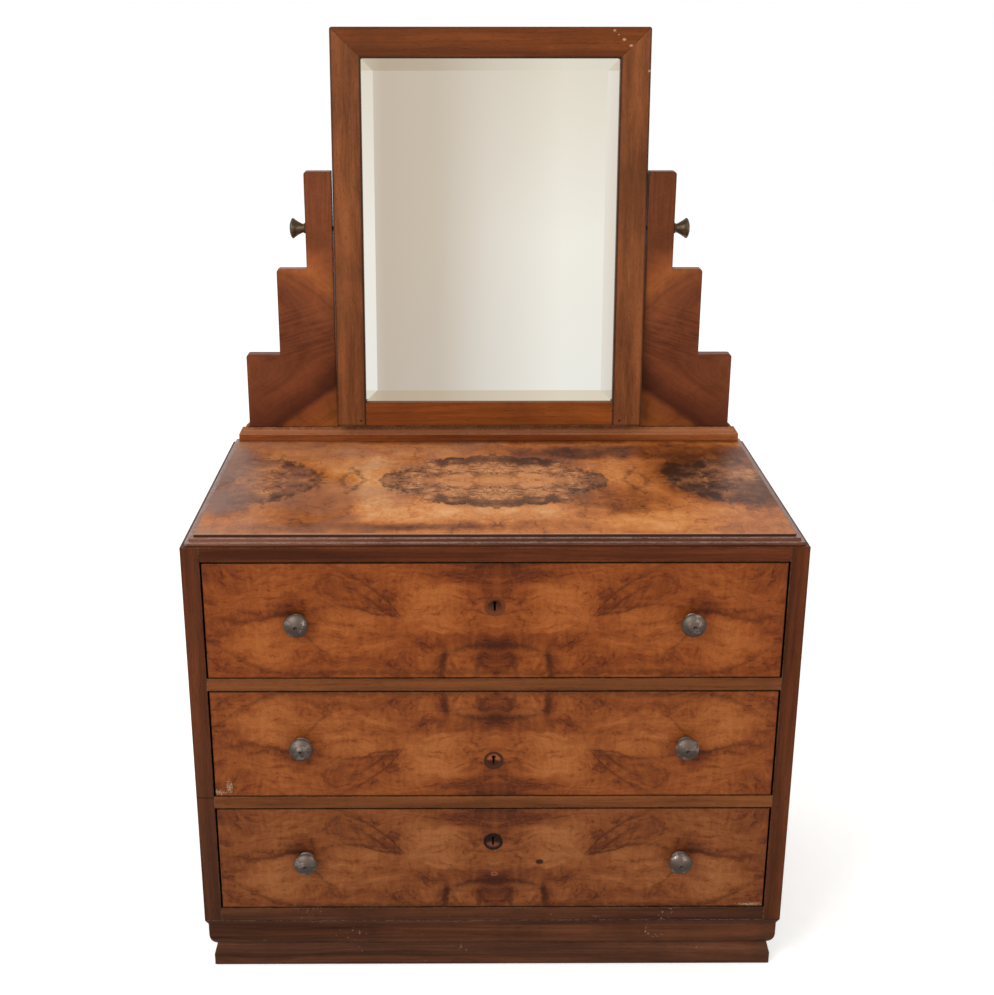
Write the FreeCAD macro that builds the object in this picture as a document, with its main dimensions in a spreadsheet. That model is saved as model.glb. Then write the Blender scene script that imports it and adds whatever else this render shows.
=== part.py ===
import FreeCAD, Part
import math
import os
from types import SimpleNamespace

import Sketcher
from FreeCAD import Placement, Rotation, Vector

# A dressing chest in walnut: a case of three drawers on a moulded plinth, with a swing mirror
# held between two stepped supports by brass thumb screws.
#
# The frame: X runs to the right as one faces the chest, Y runs from front to back, Z is up.
# The floor is at Z 0 and the middle of the whole piece is at X 0, Y 0. All sizes are in mm.

SIZES = (
    # the case
    ("case_width", 914.0, "side to side, over the side panels"),
    ("case_depth", 533.0, "face of the stiles to the back"),
    ("side_thickness", 18.0, "side panels"),
    ("stile_width", 27.0, "upright beside the drawers, seen from the front"),
    ("stile_depth", 22.0, "upright, front to back"),
    ("top_rail_height", 22.5, "rail above the top drawer"),
    ("divider_height", 20.0, "rail between two drawers"),
    ("bottom_rail_height", 23.5, "rail below the bottom drawer"),
    ("rail_depth", 50.0, "rails, front to back"),
    ("housing_depth", 6.0, "how far a rail is let into the side panels"),
    ("top_opening_height", 187.0, "opening of the top drawer"),
    ("middle_opening_height", 180.5, "opening of the middle drawer"),
    ("bottom_opening_height", 180.5, "opening of the bottom drawer"),
    ("back_thickness", 5.0, "plywood back"),
    ("back_rebate", 9.0, "how far the back laps onto each side panel"),
    # the base: a moulding under the case, standing on plinth boards
    ("base_thickness", 36.0, "moulding and plinth, from the case's face inwards"),
    ("chamfer_height", 9.0, "bevel under the case"),
    ("chamfer_run", 4.5, "how far the bevel steps in"),
    ("band_height", 20.0, "flat band under the bevel"),
    ("ovolo_height", 23.0, "rounded part that turns in to the neck"),
    ("neck_inset", 15.0, "narrowest place, from the case's face"),
    ("plinth_height", 39.0, "plinth boards"),
    ("plinth_face_height", 21.0, "upright face of the plinth, below its slope"),
    ("plinth_inset", 10.0, "plinth's face, from the case's face"),
    ("toe_radius", 3.0, "rounded bottom edge of the plinth"),
    ("base_back_thickness", 20.0, "plain board at the back of the base"),
    ("glue_block", 40.0, "legs of the corner blocks in the base"),
    ("glue_block_lift", 4.0, "how far the corner blocks stay off the floor"),
    # the top
    ("top_rise", 5.0, "height of each of the three steps round the top"),
    ("top_tread", 6.0, "width of each step"),
    ("top_block", 20.0, "legs of the blocks glued under the top"),
    ("top_block_length", 60.0, "the same, side to side"),
    ("top_block_spacing", 300.0, "middle to middle of two of them"),
    # what the drawers run on
    ("runner_width", 29.0, "runner, from the side panel inwards"),
    ("guide_height", 30.0, "strip beside the drawer, above the runner"),
    ("guide_gap", 1.0, "air between a guide and the drawer's side"),
    ("stop_width", 40.0, "drawer stop, side to side"),
    ("stop_depth", 8.0, "drawer stop, front to back"),
    ("stop_height", 6.0, "drawer stop"),
    ("stop_spacing", 500.0, "middle to middle of a pair of stops"),
    ("stop_gap", 0.2, "air between a stop and the closed drawer"),
    # the drawers
    ("side_gap", 3.0, "air at each end of a drawer front"),
    ("top_gap", 3.0, "air above a drawer"),
    ("front_lift", 1.5, "air under a drawer front"),
    ("running_gap", 0.5, "air between a drawer's side and its runner"),
    ("front_recess", 1.0, "how far the drawer fronts sit behind the stiles"),
    ("front_thickness", 20.0, "drawer front"),
    ("rear_gap", 47.0, "air behind a closed drawer"),
    ("drawer_side_thickness", 11.0, "drawer sides"),
    ("drawer_back_thickness", 11.0, "drawer back"),
    ("back_drop", 8.0, "how far the drawer back stays below the sides"),
    ("bottom_thickness", 5.0, "drawer bottom"),
    ("groove_depth", 5.0, "groove for the bottom"),
    ("groove_height", 10.0, "groove, above the side's lower edge"),
    ("tail_length", 13.0, "tails let into the drawer front"),
    ("pin_width", 7.0, "narrow end of a dovetail pin"),
    ("half_pin_width", 5.0, "narrow end of the half pins at the ends of the row"),
    ("dovetail_slope", 0.16, "sideways run of a dovetail for each mm of its length"),
    # knobs, locks and keyholes
    ("knob_spacing", 583.0, "middle to middle of a pair of knobs"),
    ("knob_radius", 18.5, "drawer knob at its widest"),
    ("knob_projection", 27.0, "how far a knob stands out from the drawer front"),
    ("knob_foot_radius", 13.0, "foot that bears on the front"),
    ("knob_neck_radius", 9.5, "narrowest place of the knob"),
    ("knob_neck_height", 6.0, "narrowest place, from the drawer front"),
    ("knob_dome", 11.0, "rounded end of the knob, from its widest place"),
    ("stud_radius", 3.0, "stud that is driven into the drawer front"),
    ("stud_length", 16.0, "the same, into the front"),
    ("top_keyhole_drop", 66.0, "keyhole of the top drawer, below the rail above it"),
    ("middle_keyhole_drop", 114.0, "the same for the middle drawer"),
    ("bottom_keyhole_drop", 56.0, "the same for the bottom drawer"),
    ("escutcheon_radius", 15.0, "round inset about a keyhole"),
    ("escutcheon_thickness", 4.0, "inset, front to back"),
    ("keyhole_radius", 3.2, "round upper end of a keyhole"),
    ("keyhole_slot", 3.0, "width of the slot below it"),
    ("keyhole_length", 13.0, "slot, from the middle of the round end"),
    ("lock_width", 60.0, "lock case, side to side"),
    ("lock_height", 42.0, "lock case"),
    ("lock_depth", 12.0, "lock case, front to back"),
    ("bolt_width", 14.0, "lock bolt, side to side"),
    ("bolt_thickness", 4.0, "lock bolt, front to back"),
    ("bolt_gap", 0.3, "air round the bolt in its channel"),
    ("bolt_drop", 1.0, "how far the drawn bolt stays below the drawer's upper edge"),
    ("mortise_gap", 1.0, "air round the thrown bolt in the rail above"),
    ("mortise_depth", 12.0, "slot for the bolt in the rail above"),
    # the base rail and the stepped supports of the mirror
    ("mirror_base_depth", 48.0, "base rail on the top, front to back"),
    ("mirror_base_face", 13.0, "upright face of the base rail"),
    ("mirror_base_tread", 7.0, "step above that face"),
    ("mirror_base_riser", 4.0, "upright above the step"),
    ("mirror_slope_rise", 5.0, "bevel above that upright"),
    ("mirror_slope_run", 6.0, "how far the bevel leans in"),
    ("support_setback", 14.0, "supports, behind the face of the base rail"),
    ("support_thickness", 22.0, "supports, front to back"),
    ("support_corner_radius", 5.0, "rounding of a support's outer corners"),
    ("lower_step_width", 155.5, "support, side to side, at the bottom"),
    ("middle_step_width", 97.0, "support at its middle step"),
    ("upper_step_width", 45.5, "support at its upper step"),
    ("lower_step_height", 130.5, "height of the lower step"),
    ("middle_step_height", 148.5, "height of the middle step"),
    ("upper_step_height", 163.0, "height of the upper step"),
    ("tenon_width", 100.0, "tenon under a support, side to side"),
    ("tenon_thickness", 10.0, "tenon, front to back"),
    ("tenon_length", 30.0, "tenon, through the base rail and into the top"),
    ("tenon_inset", 20.0, "tenon, from the support's inner edge"),
    # the mirror
    ("mirror_width", 528.0, "mirror frame, over all"),
    ("mirror_height", 662.0, "mirror frame, over all"),
    ("mirror_stile_width", 50.0, "sides of the mirror frame"),
    ("mirror_top_width", 49.0, "top of the mirror frame"),
    ("mirror_bottom_width", 40.0, "bottom of the mirror frame"),
    ("mirror_thickness", 24.0, "mirror frame, front to back"),
    ("frame_corner_radius", 4.0, "rounding of the frame's two upper corners"),
    ("mirror_side_gap", 2.0, "air between the frame and a support"),
    ("mirror_clearance", 9.5, "air under the upright frame"),
    ("pivot_rise", 6.5, "pivot, above the middle of the frame, so that it hangs steady"),
    ("mirror_lean", 5.0, "degrees that the mirror leans back at rest"),
    ("glass_thickness", 5.0, "bevelled mirror plate"),
    ("glass_lap", 6.0, "how far the frame covers the plate's edge"),
    ("glass_gap", 0.5, "air round the plate in its rebate"),
    ("bevel_width", 25.0, "bevel of the plate"),
    ("bevel_depth", 2.5, "how much the bevel thins the plate's edge"),
    ("backboard_thickness", 4.0, "board behind the plate"),
    ("frame_tenon_length", 25.0, "tenons of the mirror's bottom rail"),
    ("frame_tenon_thickness", 8.0, "the same, front to back"),
    ("frame_tenon_shoulder", 6.0, "the same, from the rail's edges"),
    # the thumb screws that hold the mirror
    ("thumb_radius", 17.3, "flared end of a thumb screw"),
    ("thumb_length", 27.5, "from the support to the end of the dome"),
    ("thumb_dome", 5.5, "rounded end"),
    ("thumb_neck_radius", 9.0, "neck against the support"),
    ("thumb_neck_length", 7.0, "neck, before it flares"),
    ("shank_radius", 4.0, "screw's shank"),
    ("shank_reach", 25.0, "how far the shank goes into the mirror frame"),
    ("shank_gap", 0.05, "running clearance round the shank"),
    ("plate_length", 60.0, "brass plate in the frame's edge, up and down"),
    ("plate_width", 18.0, "the same, front to back"),
    ("plate_thickness", 2.0, "the same, into the edge"),
)


class Length:
    """A number that remembers the sheet expression it comes from."""

    def __init__(self, number, text=None):
        self.number = float(number)
        self.text = text or f"({self.number})"

    def __add__(self, other):
        other = as_length(other)
        return Length(self.number + other.number, f"({self.text} + {other.text})")

    def __sub__(self, other):
        other = as_length(other)
        return Length(self.number - other.number, f"({self.text} - {other.text})")

    def __mul__(self, other):
        other = as_length(other)
        return Length(self.number * other.number, f"{self.text} * {other.text}")

    def __truediv__(self, other):
        other = as_length(other)
        return Length(self.number / other.number, f"({self.text}) / ({other.text})")

    def __neg__(self):
        return self * -1

    def __radd__(self, other):
        return as_length(other) + self

    def __rsub__(self, other):
        return as_length(other) - self

    def __rmul__(self, other):
        return as_length(other) * self


def as_length(value):
    return value if isinstance(value, Length) else Length(value)


def sine(angle):
    return Length(math.sin(math.radians(angle.number)), f"sin({angle.text})")


def cosine(angle):
    return Length(math.cos(math.radians(angle.number)), f"cos({angle.text})")


doc = FreeCAD.newDocument("dressing_chest")
sheet = doc.addObject("Spreadsheet::Sheet", "sizes")
for row, (name, value, note) in enumerate(SIZES, start=1):
    sheet.set(f"A{row}", name)
    sheet.set(f"B{row}", str(value))
    sheet.set(f"C{row}", note)
    sheet.setAlias(f"B{row}", name)
doc.recompute()
size = SimpleNamespace(**{name: Length(sheet.get(name), f"sizes.{name}") for name, _, _ in SIZES})


# ---- tools: blocks, prisms, turnings and joints, each tied to the sheet ----

SKETCH_TURNS = {
    "x": Rotation(Vector(1, 1, 1), 120),    # outline in Y and Z
    "y": Rotation(Vector(1, 0, 0), 90),     # outline in X and Z
    "z": Rotation(),                        # outline in X and Y
}
AXES = {"x": Vector(1, 0, 0), "y": Vector(0, 1, 0), "z": Vector(0, 0, 1)}
nodes = []


def bind(thing, path, length):
    thing.setExpression(path, as_length(length).text)


def seat(thing, place, turn=None):
    """Put a thing's own origin at a place (x, y, z), after a fixed turn."""
    if turn is not None:
        thing.Placement = Placement(Vector(), turn)
    for axis, length in zip("xyz", place):
        bind(thing, f"Placement.Base.{axis}", length)


def node(thing, label):
    """Name a finished sub-part."""
    thing.Label = label
    nodes.append(thing)
    return thing


def block(corner, extent):
    """A rectangular block, from its low corner and its extent along X, Y and Z."""
    box = doc.addObject("Part::Box", "block")
    for path, length in zip(("Length", "Width", "Height"), extent):
        bind(box, path, length)
    seat(box, corner)
    return box


def rod(along, start, radius, length):
    """A round bar along an axis, from the middle of its low end."""
    turns = {"x": Rotation(Vector(0, 1, 0), 90), "y": Rotation(Vector(1, 0, 0), -90), "z": Rotation()}
    bar = doc.addObject("Part::Cylinder", "rod")
    bind(bar, "Radius", radius)
    bind(bar, "Height", length)
    seat(bar, start, turns[along])
    return bar


def draw(sketch, corners):
    """Draw a closed outline. A corner is (u, v), or (u, v, radius) where an arc leads to it.

    The arc's middle is on the left of the way to the corner, or on the right if the radius
    is given as (radius, "right").
    """
    ends = [(as_length(corner[0]), as_length(corner[1])) for corner in corners]
    arcs = [corner[2] if len(corner) > 2 else None for corner in corners]
    edges = []
    heads = []
    for index in range(len(ends)):
        head = [length.number for length in ends[index - 1]]
        tail = [length.number for length in ends[index]]
        arc = arcs[index]
        if arc is None:
            edges.append(Part.LineSegment(Vector(*head, 0), Vector(*tail, 0)))
            heads.append((1, 2))
            continue
        radius, side = arc if isinstance(arc, tuple) else (arc, "left")
        sign = 1 if side == "left" else -1
        run = Vector(tail[0] - head[0], tail[1] - head[1], 0)
        rise = math.sqrt(max(radius.number ** 2 - (run.Length / 2) ** 2, 0))
        normal = Vector(-run.y, run.x, 0) / run.Length
        middle = Vector(*head, 0) + run / 2 + normal * rise * sign
        angles = [math.atan2(end[1] - middle.y, end[0] - middle.x) for end in (head, tail)]
        if sign < 0:
            angles.reverse()
        circle = Part.Circle(middle, Vector(0, 0, 1), radius.number)
        edges.append(Part.ArcOfCircle(circle, *angles))
        heads.append((1, 2) if sign > 0 else (2, 1))
    sketch.addGeometry(edges, False)
    limits = []
    bound = []
    for index, (u, v) in enumerate(ends):
        following = (index + 1) % len(ends)
        limits.append(Sketcher.Constraint(
            "Coincident", index, heads[index][1], following, heads[following][0]))
        for kind, length in (("DistanceX", u), ("DistanceY", v)):
            bound.append((len(limits), length))
            limits.append(Sketcher.Constraint(kind, -1, 1, index, heads[index][1], length.number))
        if arcs[index] is not None:
            radius = arcs[index][0] if isinstance(arcs[index], tuple) else arcs[index]
            bound.append((len(limits), radius))
            limits.append(Sketcher.Constraint("Radius", index, radius.number))
    sketch.addConstraint(limits)
    for index, length in bound:
        bind(sketch, f"Constraints[{index}]", length)


def prism(along, corners, start, length):
    """An outline across one axis, carried along that axis from start for a length."""
    sketch = doc.addObject("Sketcher::SketchObject", "outline")
    draw(sketch, corners)
    place = [start if axis == along else 0 for axis in "xyz"]
    seat(sketch, place, SKETCH_TURNS[along])
    solid = doc.addObject("Part::Extrusion", "prism")
    solid.Base = sketch
    solid.DirMode = "Custom"
    solid.Dir = AXES[along]
    solid.Solid = True
    bind(solid, "LengthFwd", length)
    return solid


def turned(corners, place, turn):
    """A lathe-turned body: its half outline as (radius, distance along the axis) corners."""
    body = doc.addObject("PartDesign::Body", "turning")
    plane = next(item for item in body.Origin.OriginFeatures if item.Role == "XZ_Plane")
    sketch = body.newObject("Sketcher::SketchObject", "half_outline")
    sketch.AttachmentSupport = [(plane, "")]
    sketch.MapMode = "FlatFace"
    draw(sketch, corners)
    lathe = body.newObject("PartDesign::Revolution", "lathe")
    lathe.Profile = sketch
    lathe.ReferenceAxis = (sketch, ["V_Axis"])
    lathe.Angle = 360
    seat(body, place, turn)
    return body


def dome(radius, foot, height, angles):
    """Corners up a rounded end at angles above its widest place, and its flat middle."""
    corners = [(radius * math.cos(math.radians(angle)), foot + height * math.sin(math.radians(angle)))
               for angle in angles]
    corners[-1] = (corners[-1][0], foot + height)
    return corners + [(0, foot + height)]


def cut(base, *tools):
    """The base without its tools, taken away one after another."""
    for tool in tools:
        result = doc.addObject("Part::Cut", "cut")
        result.Base = base
        result.Tool = tool
        base = result
    return base


def fuse(*pieces):
    joined = doc.addObject("Part::MultiFuse", "joined")
    joined.Shapes = list(pieces)
    joined.Refine = True
    return joined


def common(first, second):
    shared = doc.addObject("Part::Common", "shared")
    shared.Base = first
    shared.Tool = second
    return shared


def group(*pieces):
    """Separate solids that share one node."""
    together = doc.addObject("Part::Compound", "group")
    together.Links = list(pieces)
    return together


def mirrored(piece):
    """The same piece for the other side of the chest."""
    twin = doc.addObject("Part::Mirroring", "mirrored")
    twin.Source = piece
    twin.Normal = AXES["x"]
    twin.Base = Vector()
    return twin


# ---- places that more than one piece shares ----

half_width = size.case_width / 2
inner_half = half_width - size.side_thickness
opening_half = half_width - size.stile_width
base_height = size.plinth_height + size.ovolo_height + size.band_height + size.chamfer_height
openings = {}
level = base_height + size.bottom_rail_height
for drawer_name, height, rail_above in (
        ("bottom_drawer", size.bottom_opening_height, size.divider_height),
        ("middle_drawer", size.middle_opening_height, size.divider_height),
        ("top_drawer", size.top_opening_height, size.top_rail_height)):
    openings[drawer_name] = (level, height)
    level = level + height + rail_above
case_top = level
case_height = case_top - base_height
top_inset = 3 * size.top_tread
top_thickness = 3 * size.top_rise
top_surface = case_top + top_thickness

mirror_base_upright = size.mirror_base_face + size.mirror_base_riser
support_foot = top_surface + mirror_base_upright + size.mirror_slope_rise
frame_top = size.mirror_height / 2 - size.pivot_rise
frame_foot = frame_top - size.mirror_height
pivot_height = support_foot + size.mirror_clearance - frame_foot
support_behind = size.case_depth - size.mirror_base_depth + size.support_setback
pivot_behind = support_behind + size.support_thickness / 2

# The leaning mirror is what reaches furthest back, and the knobs are what reach furthest
# forward. The middle between them is Y 0, which puts the face of the stiles at this Y:
reach_back = (pivot_behind + frame_top * sine(size.mirror_lean)
              + size.mirror_thickness / 2 * cosine(size.mirror_lean))
reach_front = size.knob_projection - size.front_recess
front = (reach_front - reach_back) / 2
back = front + size.case_depth
pivot_y = front + pivot_behind


# ---- the carcass: stiles, rails, side panels and back ----

def rail_outline():
    """A rail is notched round the stiles and let into the side panels behind them."""
    housed = inner_half + size.housing_depth
    shoulder = front + size.stile_depth
    rear = front + size.rail_depth
    return (
        (-opening_half, front), (opening_half, front), (opening_half, shoulder),
        (housed, shoulder), (housed, rear), (-housed, rear),
        (-housed, shoulder), (-opening_half, shoulder),
    )


def bolt_place():
    """Where the lock bolts slide, behind the drawer fronts."""
    return front + size.front_recess + size.front_thickness + (size.lock_depth - size.bolt_thickness) / 2


def bolt_mortise(underside):
    """The slot in the underside of a rail that a thrown bolt goes into."""
    gap = size.mortise_gap
    return block(
        (-size.bolt_width / 2 - gap, bolt_place() - gap, underside),
        (size.bolt_width + 2 * gap, size.bolt_thickness + 2 * gap, size.mortise_depth))


rails = {}
for label, drawer_name, height, above in (
        ("bottom_rail", "bottom_drawer", size.bottom_rail_height, False),
        ("divider_lower", "bottom_drawer", size.divider_height, True),
        ("divider_upper", "middle_drawer", size.divider_height, True),
        ("top_rail", "top_drawer", size.top_rail_height, True)):
    floor_level, opening_height = openings[drawer_name]
    underside = floor_level + opening_height if above else floor_level - height
    board = prism("z", rail_outline(), underside, height)
    rails[label] = cut(board, bolt_mortise(underside)) if above else board
    node(rails[label], label)

side_panel = cut(
    block((inner_half, front + size.stile_depth, base_height),
          (size.side_thickness, size.case_depth - size.stile_depth, case_height)),
    block((inner_half, back - size.back_thickness, base_height),
          (size.back_rebate, size.back_thickness, case_height)),
    *rails.values())
node(side_panel, "side_panel_right")
node(mirrored(side_panel), "side_panel_left")

stile = block((opening_half, front, base_height), (size.stile_width, size.stile_depth, case_height))
node(stile, "front_stile_right")
node(mirrored(stile), "front_stile_left")

back_half = inner_half + size.back_rebate
back_panel = block((-back_half, back - size.back_thickness, base_height),
                   (2 * back_half, size.back_thickness, case_height))
node(back_panel, "back_panel")


# ---- mouldings that run round the front and both sides, mitred at the front corners ----

def mitred_run(profile, width):
    """Carry a profile round three sides as three pieces that meet in mitres.

    The profile's corners are (distance in from the case's face, height). The width is how
    far in the pieces reach.
    """
    front_run = prism("x", [(front + corner[0], *corner[1:]) for corner in profile],
                      -half_width, size.case_width)
    front_plan = prism(
        "z", ((-half_width, front), (half_width, front),
              (half_width - width, front + width), (width - half_width, front + width)),
        0, case_top + top_thickness)
    side_run = prism("y", mirror_order([(half_width - corner[0], *corner[1:]) for corner in profile]),
                     front, size.case_depth)
    side_plan = prism(
        "z", ((half_width, front), (half_width, back), (half_width - width, back),
              (half_width - width, front + width)),
        0, case_top + top_thickness)
    right = common(side_run, side_plan)
    return common(front_run, front_plan), right, mirrored(right)


def mirror_order(corners):
    """Keep each arc on its own side of an outline that has been turned over."""
    flipped = []
    for corner in corners:
        if len(corner) > 2:
            radius, side = corner[2]
            corner = (corner[0], corner[1], (radius, "left" if side == "right" else "right"))
        flipped.append(corner)
    return flipped


tread = size.top_tread
rise = size.top_rise
top_moulding_profile = (
    (tread, case_top), (tread, case_top + rise), (2 * tread, case_top + rise),
    (2 * tread, case_top + 2 * rise), (3 * tread, case_top + 2 * rise), (3 * tread, case_top),
)
node(group(*mitred_run(top_moulding_profile, top_inset)), "top_moulding")

# The ovolo leaves the flat band upright and turns in to the neck: this radius makes its
# arc tangent to the band.
ovolo_run = size.neck_inset - size.chamfer_run
ovolo_radius = (size.ovolo_height * size.ovolo_height + ovolo_run * ovolo_run) / (2 * ovolo_run)
band_foot = size.plinth_height + size.ovolo_height
base_moulding_profile = (
    (size.base_thickness, base_height), (0, base_height),
    (size.chamfer_run, base_height - size.chamfer_height),
    (size.chamfer_run, band_foot), (size.neck_inset, size.plinth_height, (ovolo_radius, "left")),
    (size.base_thickness, size.plinth_height),
)
node(group(*mitred_run(base_moulding_profile, size.base_thickness)), "base_moulding")

plinth_profile = (
    (size.base_thickness, size.plinth_height), (size.neck_inset, size.plinth_height),
    (size.plinth_inset, size.plinth_face_height), (size.plinth_inset, size.toe_radius),
    (size.plinth_inset + size.toe_radius, 0, (size.toe_radius, "left")),
    (size.base_thickness, 0),
)
base_back = block((size.base_thickness - half_width, back - size.base_back_thickness, 0),
                  (size.case_width - 2 * size.base_thickness, size.base_back_thickness, base_height))
node(group(*mitred_run(plinth_profile, size.base_thickness), base_back), "plinth_boards")

block_x = half_width - size.base_thickness
block_height = base_height - size.glue_block_lift
corner_blocks = []
for corner_y, inward in ((front + size.base_thickness, 1), (back - size.base_back_thickness, -1)):
    corner_block = prism(
        "z", ((block_x, corner_y), (block_x, corner_y + inward * size.glue_block),
              (block_x - size.glue_block, corner_y)),
        size.glue_block_lift, block_height)
    corner_blocks += [corner_block, mirrored(corner_block)]
node(group(*corner_blocks), "glue_blocks")


# ---- what the drawers run on ----

drawer_half = opening_half - size.side_gap
guide_half = drawer_half + size.guide_gap
runner_front = front + size.rail_depth
runner_length = back - size.back_thickness - runner_front
guide_front = front + size.stile_depth
guide_length = back - size.back_thickness - guide_front
closed_face = front + size.front_recess + size.front_thickness

runners = []
guides = []
stops = []
for drawer_name, (floor_level, height) in openings.items():
    rail_below = size.bottom_rail_height if drawer_name == "bottom_drawer" else size.divider_height
    runner = block((inner_half - size.runner_width, runner_front, floor_level - rail_below),
                   (size.runner_width, runner_length, rail_below))
    guide = block((guide_half, guide_front, floor_level),
                  (inner_half - guide_half, guide_length, size.guide_height))
    stop = block(((size.stop_spacing - size.stop_width) / 2, closed_face + size.stop_gap, floor_level),
                 (size.stop_width, size.stop_depth, size.stop_height))
    runners += [runner, mirrored(runner)]
    guides += [guide, mirrored(guide)]
    stops += [stop, mirrored(stop)]
node(group(*runners), "drawer_runners")
node(group(*guides), "drawer_guides")
node(group(*stops), "drawer_stops")


# ---- the top's kickers and glue blocks ----

kicker = block((inner_half - size.runner_width, runner_front, case_top - size.top_rail_height),
               (size.runner_width, runner_length, size.top_rail_height))
node(group(kicker, mirrored(kicker)), "drawer_kickers")

top_blocks = []
for corner_y, inward in ((runner_front, 1), (back - size.back_thickness, -1)):
    for step in (-1, 0, 1):
        top_blocks.append(prism(
            "x", ((corner_y, case_top), (corner_y, case_top - size.top_block),
                  (corner_y + inward * size.top_block, case_top)),
            step * size.top_block_spacing - size.top_block_length / 2, size.top_block_length))
node(group(*top_blocks), "top_blocks")


# ---- the top, and the mirror's base rail and stepped supports that are tenoned into it ----

support_inner = size.mirror_width / 2 + size.mirror_side_gap
lower_top = support_foot + size.lower_step_height
middle_top = lower_top + size.middle_step_height
upper_top = middle_top + size.upper_step_height
thumb_seat = support_inner + size.upper_step_width
support_outline = [(support_inner, support_foot), (support_inner + size.lower_step_width, support_foot)]
for step_width, step_top, next_width in (
        (size.lower_step_width, lower_top, size.middle_step_width),
        (size.middle_step_width, middle_top, size.upper_step_width),
        (size.upper_step_width, upper_top, Length(0))):
    step_outer = support_inner + step_width
    support_outline += [
        (step_outer, step_top - size.support_corner_radius),
        (step_outer - size.support_corner_radius, step_top, size.support_corner_radius),
        (support_inner + next_width, step_top)]
support_board = prism("y", support_outline, front + support_behind, size.support_thickness)
pivot_bore = rod("x", (support_inner, pivot_y, pivot_height), size.shank_radius + size.shank_gap,
                 size.upper_step_width)
tenon = block(
    (support_inner + size.tenon_inset, pivot_y - size.tenon_thickness / 2, support_foot - size.tenon_length),
    (size.tenon_width, size.tenon_thickness, size.tenon_length))
support = cut(fuse(support_board, tenon), pivot_bore)
node(support, "mirror_support_right")
node(mirrored(support), "mirror_support_left")

top_half = half_width - top_inset
base_rail_front = back - size.mirror_base_depth
upper_half = top_half - size.mirror_base_tread
upper_front = base_rail_front + size.mirror_base_tread
bevelled_top = doc.addObject("Part::Wedge", "bevelled_top")
for path, length in (
        ("Ymin", top_surface + mirror_base_upright), ("Ymax", support_foot),
        ("Xmin", -upper_half), ("Xmax", upper_half), ("Zmin", -back), ("Zmax", -upper_front),
        ("X2min", size.mirror_slope_run - upper_half), ("X2max", upper_half - size.mirror_slope_run),
        ("Z2min", -back), ("Z2max", -upper_front - size.mirror_slope_run)):
    bind(bevelled_top, path, length)
seat(bevelled_top, (0, 0, 0), Rotation(AXES["x"], 90))
mirror_base = fuse(
    block((-top_half, base_rail_front, top_surface),
          (2 * top_half, size.mirror_base_depth, size.mirror_base_face)),
    block((-upper_half, upper_front, top_surface),
          (2 * upper_half, size.mirror_base_depth - size.mirror_base_tread, mirror_base_upright)),
    bevelled_top)
node(cut(mirror_base, tenon, mirrored(tenon)), "mirror_base_rail")

top_board = block((-top_half, front + top_inset, case_top),
                  (2 * top_half, size.case_depth - top_inset, top_thickness))
node(cut(top_board, tenon, mirrored(tenon)), "top_board")


# ---- the mirror, drawn upright about its pivot and then leaned back ----

def lean_back(piece, label, place=(0, 0, 0)):
    """Lean a piece of the mirror back about the pivot and name it."""
    x, y, z = (as_length(length) for length in place)
    lean_sine = sine(size.mirror_lean)
    lean_cosine = cosine(size.mirror_lean)
    seat(piece,
         (x, pivot_y + y * lean_cosine + z * lean_sine, pivot_height - y * lean_sine + z * lean_cosine),
         Rotation(Vector(-1, 0, 0), size.mirror_lean.number))
    bind(piece, "Placement.Rotation.Angle", size.mirror_lean)
    return node(piece, label)


frame_half = size.mirror_width / 2
frame_face = -size.mirror_thickness / 2
sight_half = frame_half - size.mirror_stile_width
sight_top = frame_top - size.mirror_top_width
sight_foot = frame_foot + size.mirror_bottom_width
plate_rebate = size.glass_thickness + size.backboard_thickness
rebate_half = sight_half + size.glass_lap
rebate_foot = sight_foot - size.glass_lap
rebate_height = sight_top - sight_foot + 2 * size.glass_lap
glass_face = size.mirror_thickness / 2 - plate_rebate

rebate = block((-rebate_half, glass_face, rebate_foot), (2 * rebate_half, plate_rebate, rebate_height))
frame_tenon_height = size.mirror_bottom_width - size.glass_lap - 2 * size.frame_tenon_shoulder
frame_tenons = block(
    (-sight_half - size.frame_tenon_length, -size.frame_tenon_thickness / 2,
     frame_foot + size.frame_tenon_shoulder),
    (2 * (sight_half + size.frame_tenon_length), size.frame_tenon_thickness, frame_tenon_height))
pivot_plate = cut(
    block((frame_half - size.plate_thickness, -size.plate_width / 2, -size.plate_length / 2),
          (size.plate_thickness, size.plate_width, size.plate_length)),
    rod("x", (frame_half - size.plate_thickness, 0, 0), size.shank_radius + size.shank_gap,
        size.plate_thickness))
plate_recess = block(
    (frame_half - size.plate_thickness, -size.plate_width / 2, -size.plate_length / 2),
    (size.plate_thickness, size.plate_width, size.plate_length))
shank_bore = rod("x", (frame_half - size.shank_reach, 0, 0), size.shank_radius + size.shank_gap,
                 size.shank_reach)

corner_place = (frame_half - size.frame_corner_radius, frame_face, frame_top - size.frame_corner_radius)
corner_waste = cut(
    block(corner_place, (size.frame_corner_radius, size.mirror_thickness, size.frame_corner_radius)),
    rod("y", corner_place, size.frame_corner_radius, size.mirror_thickness))

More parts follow.
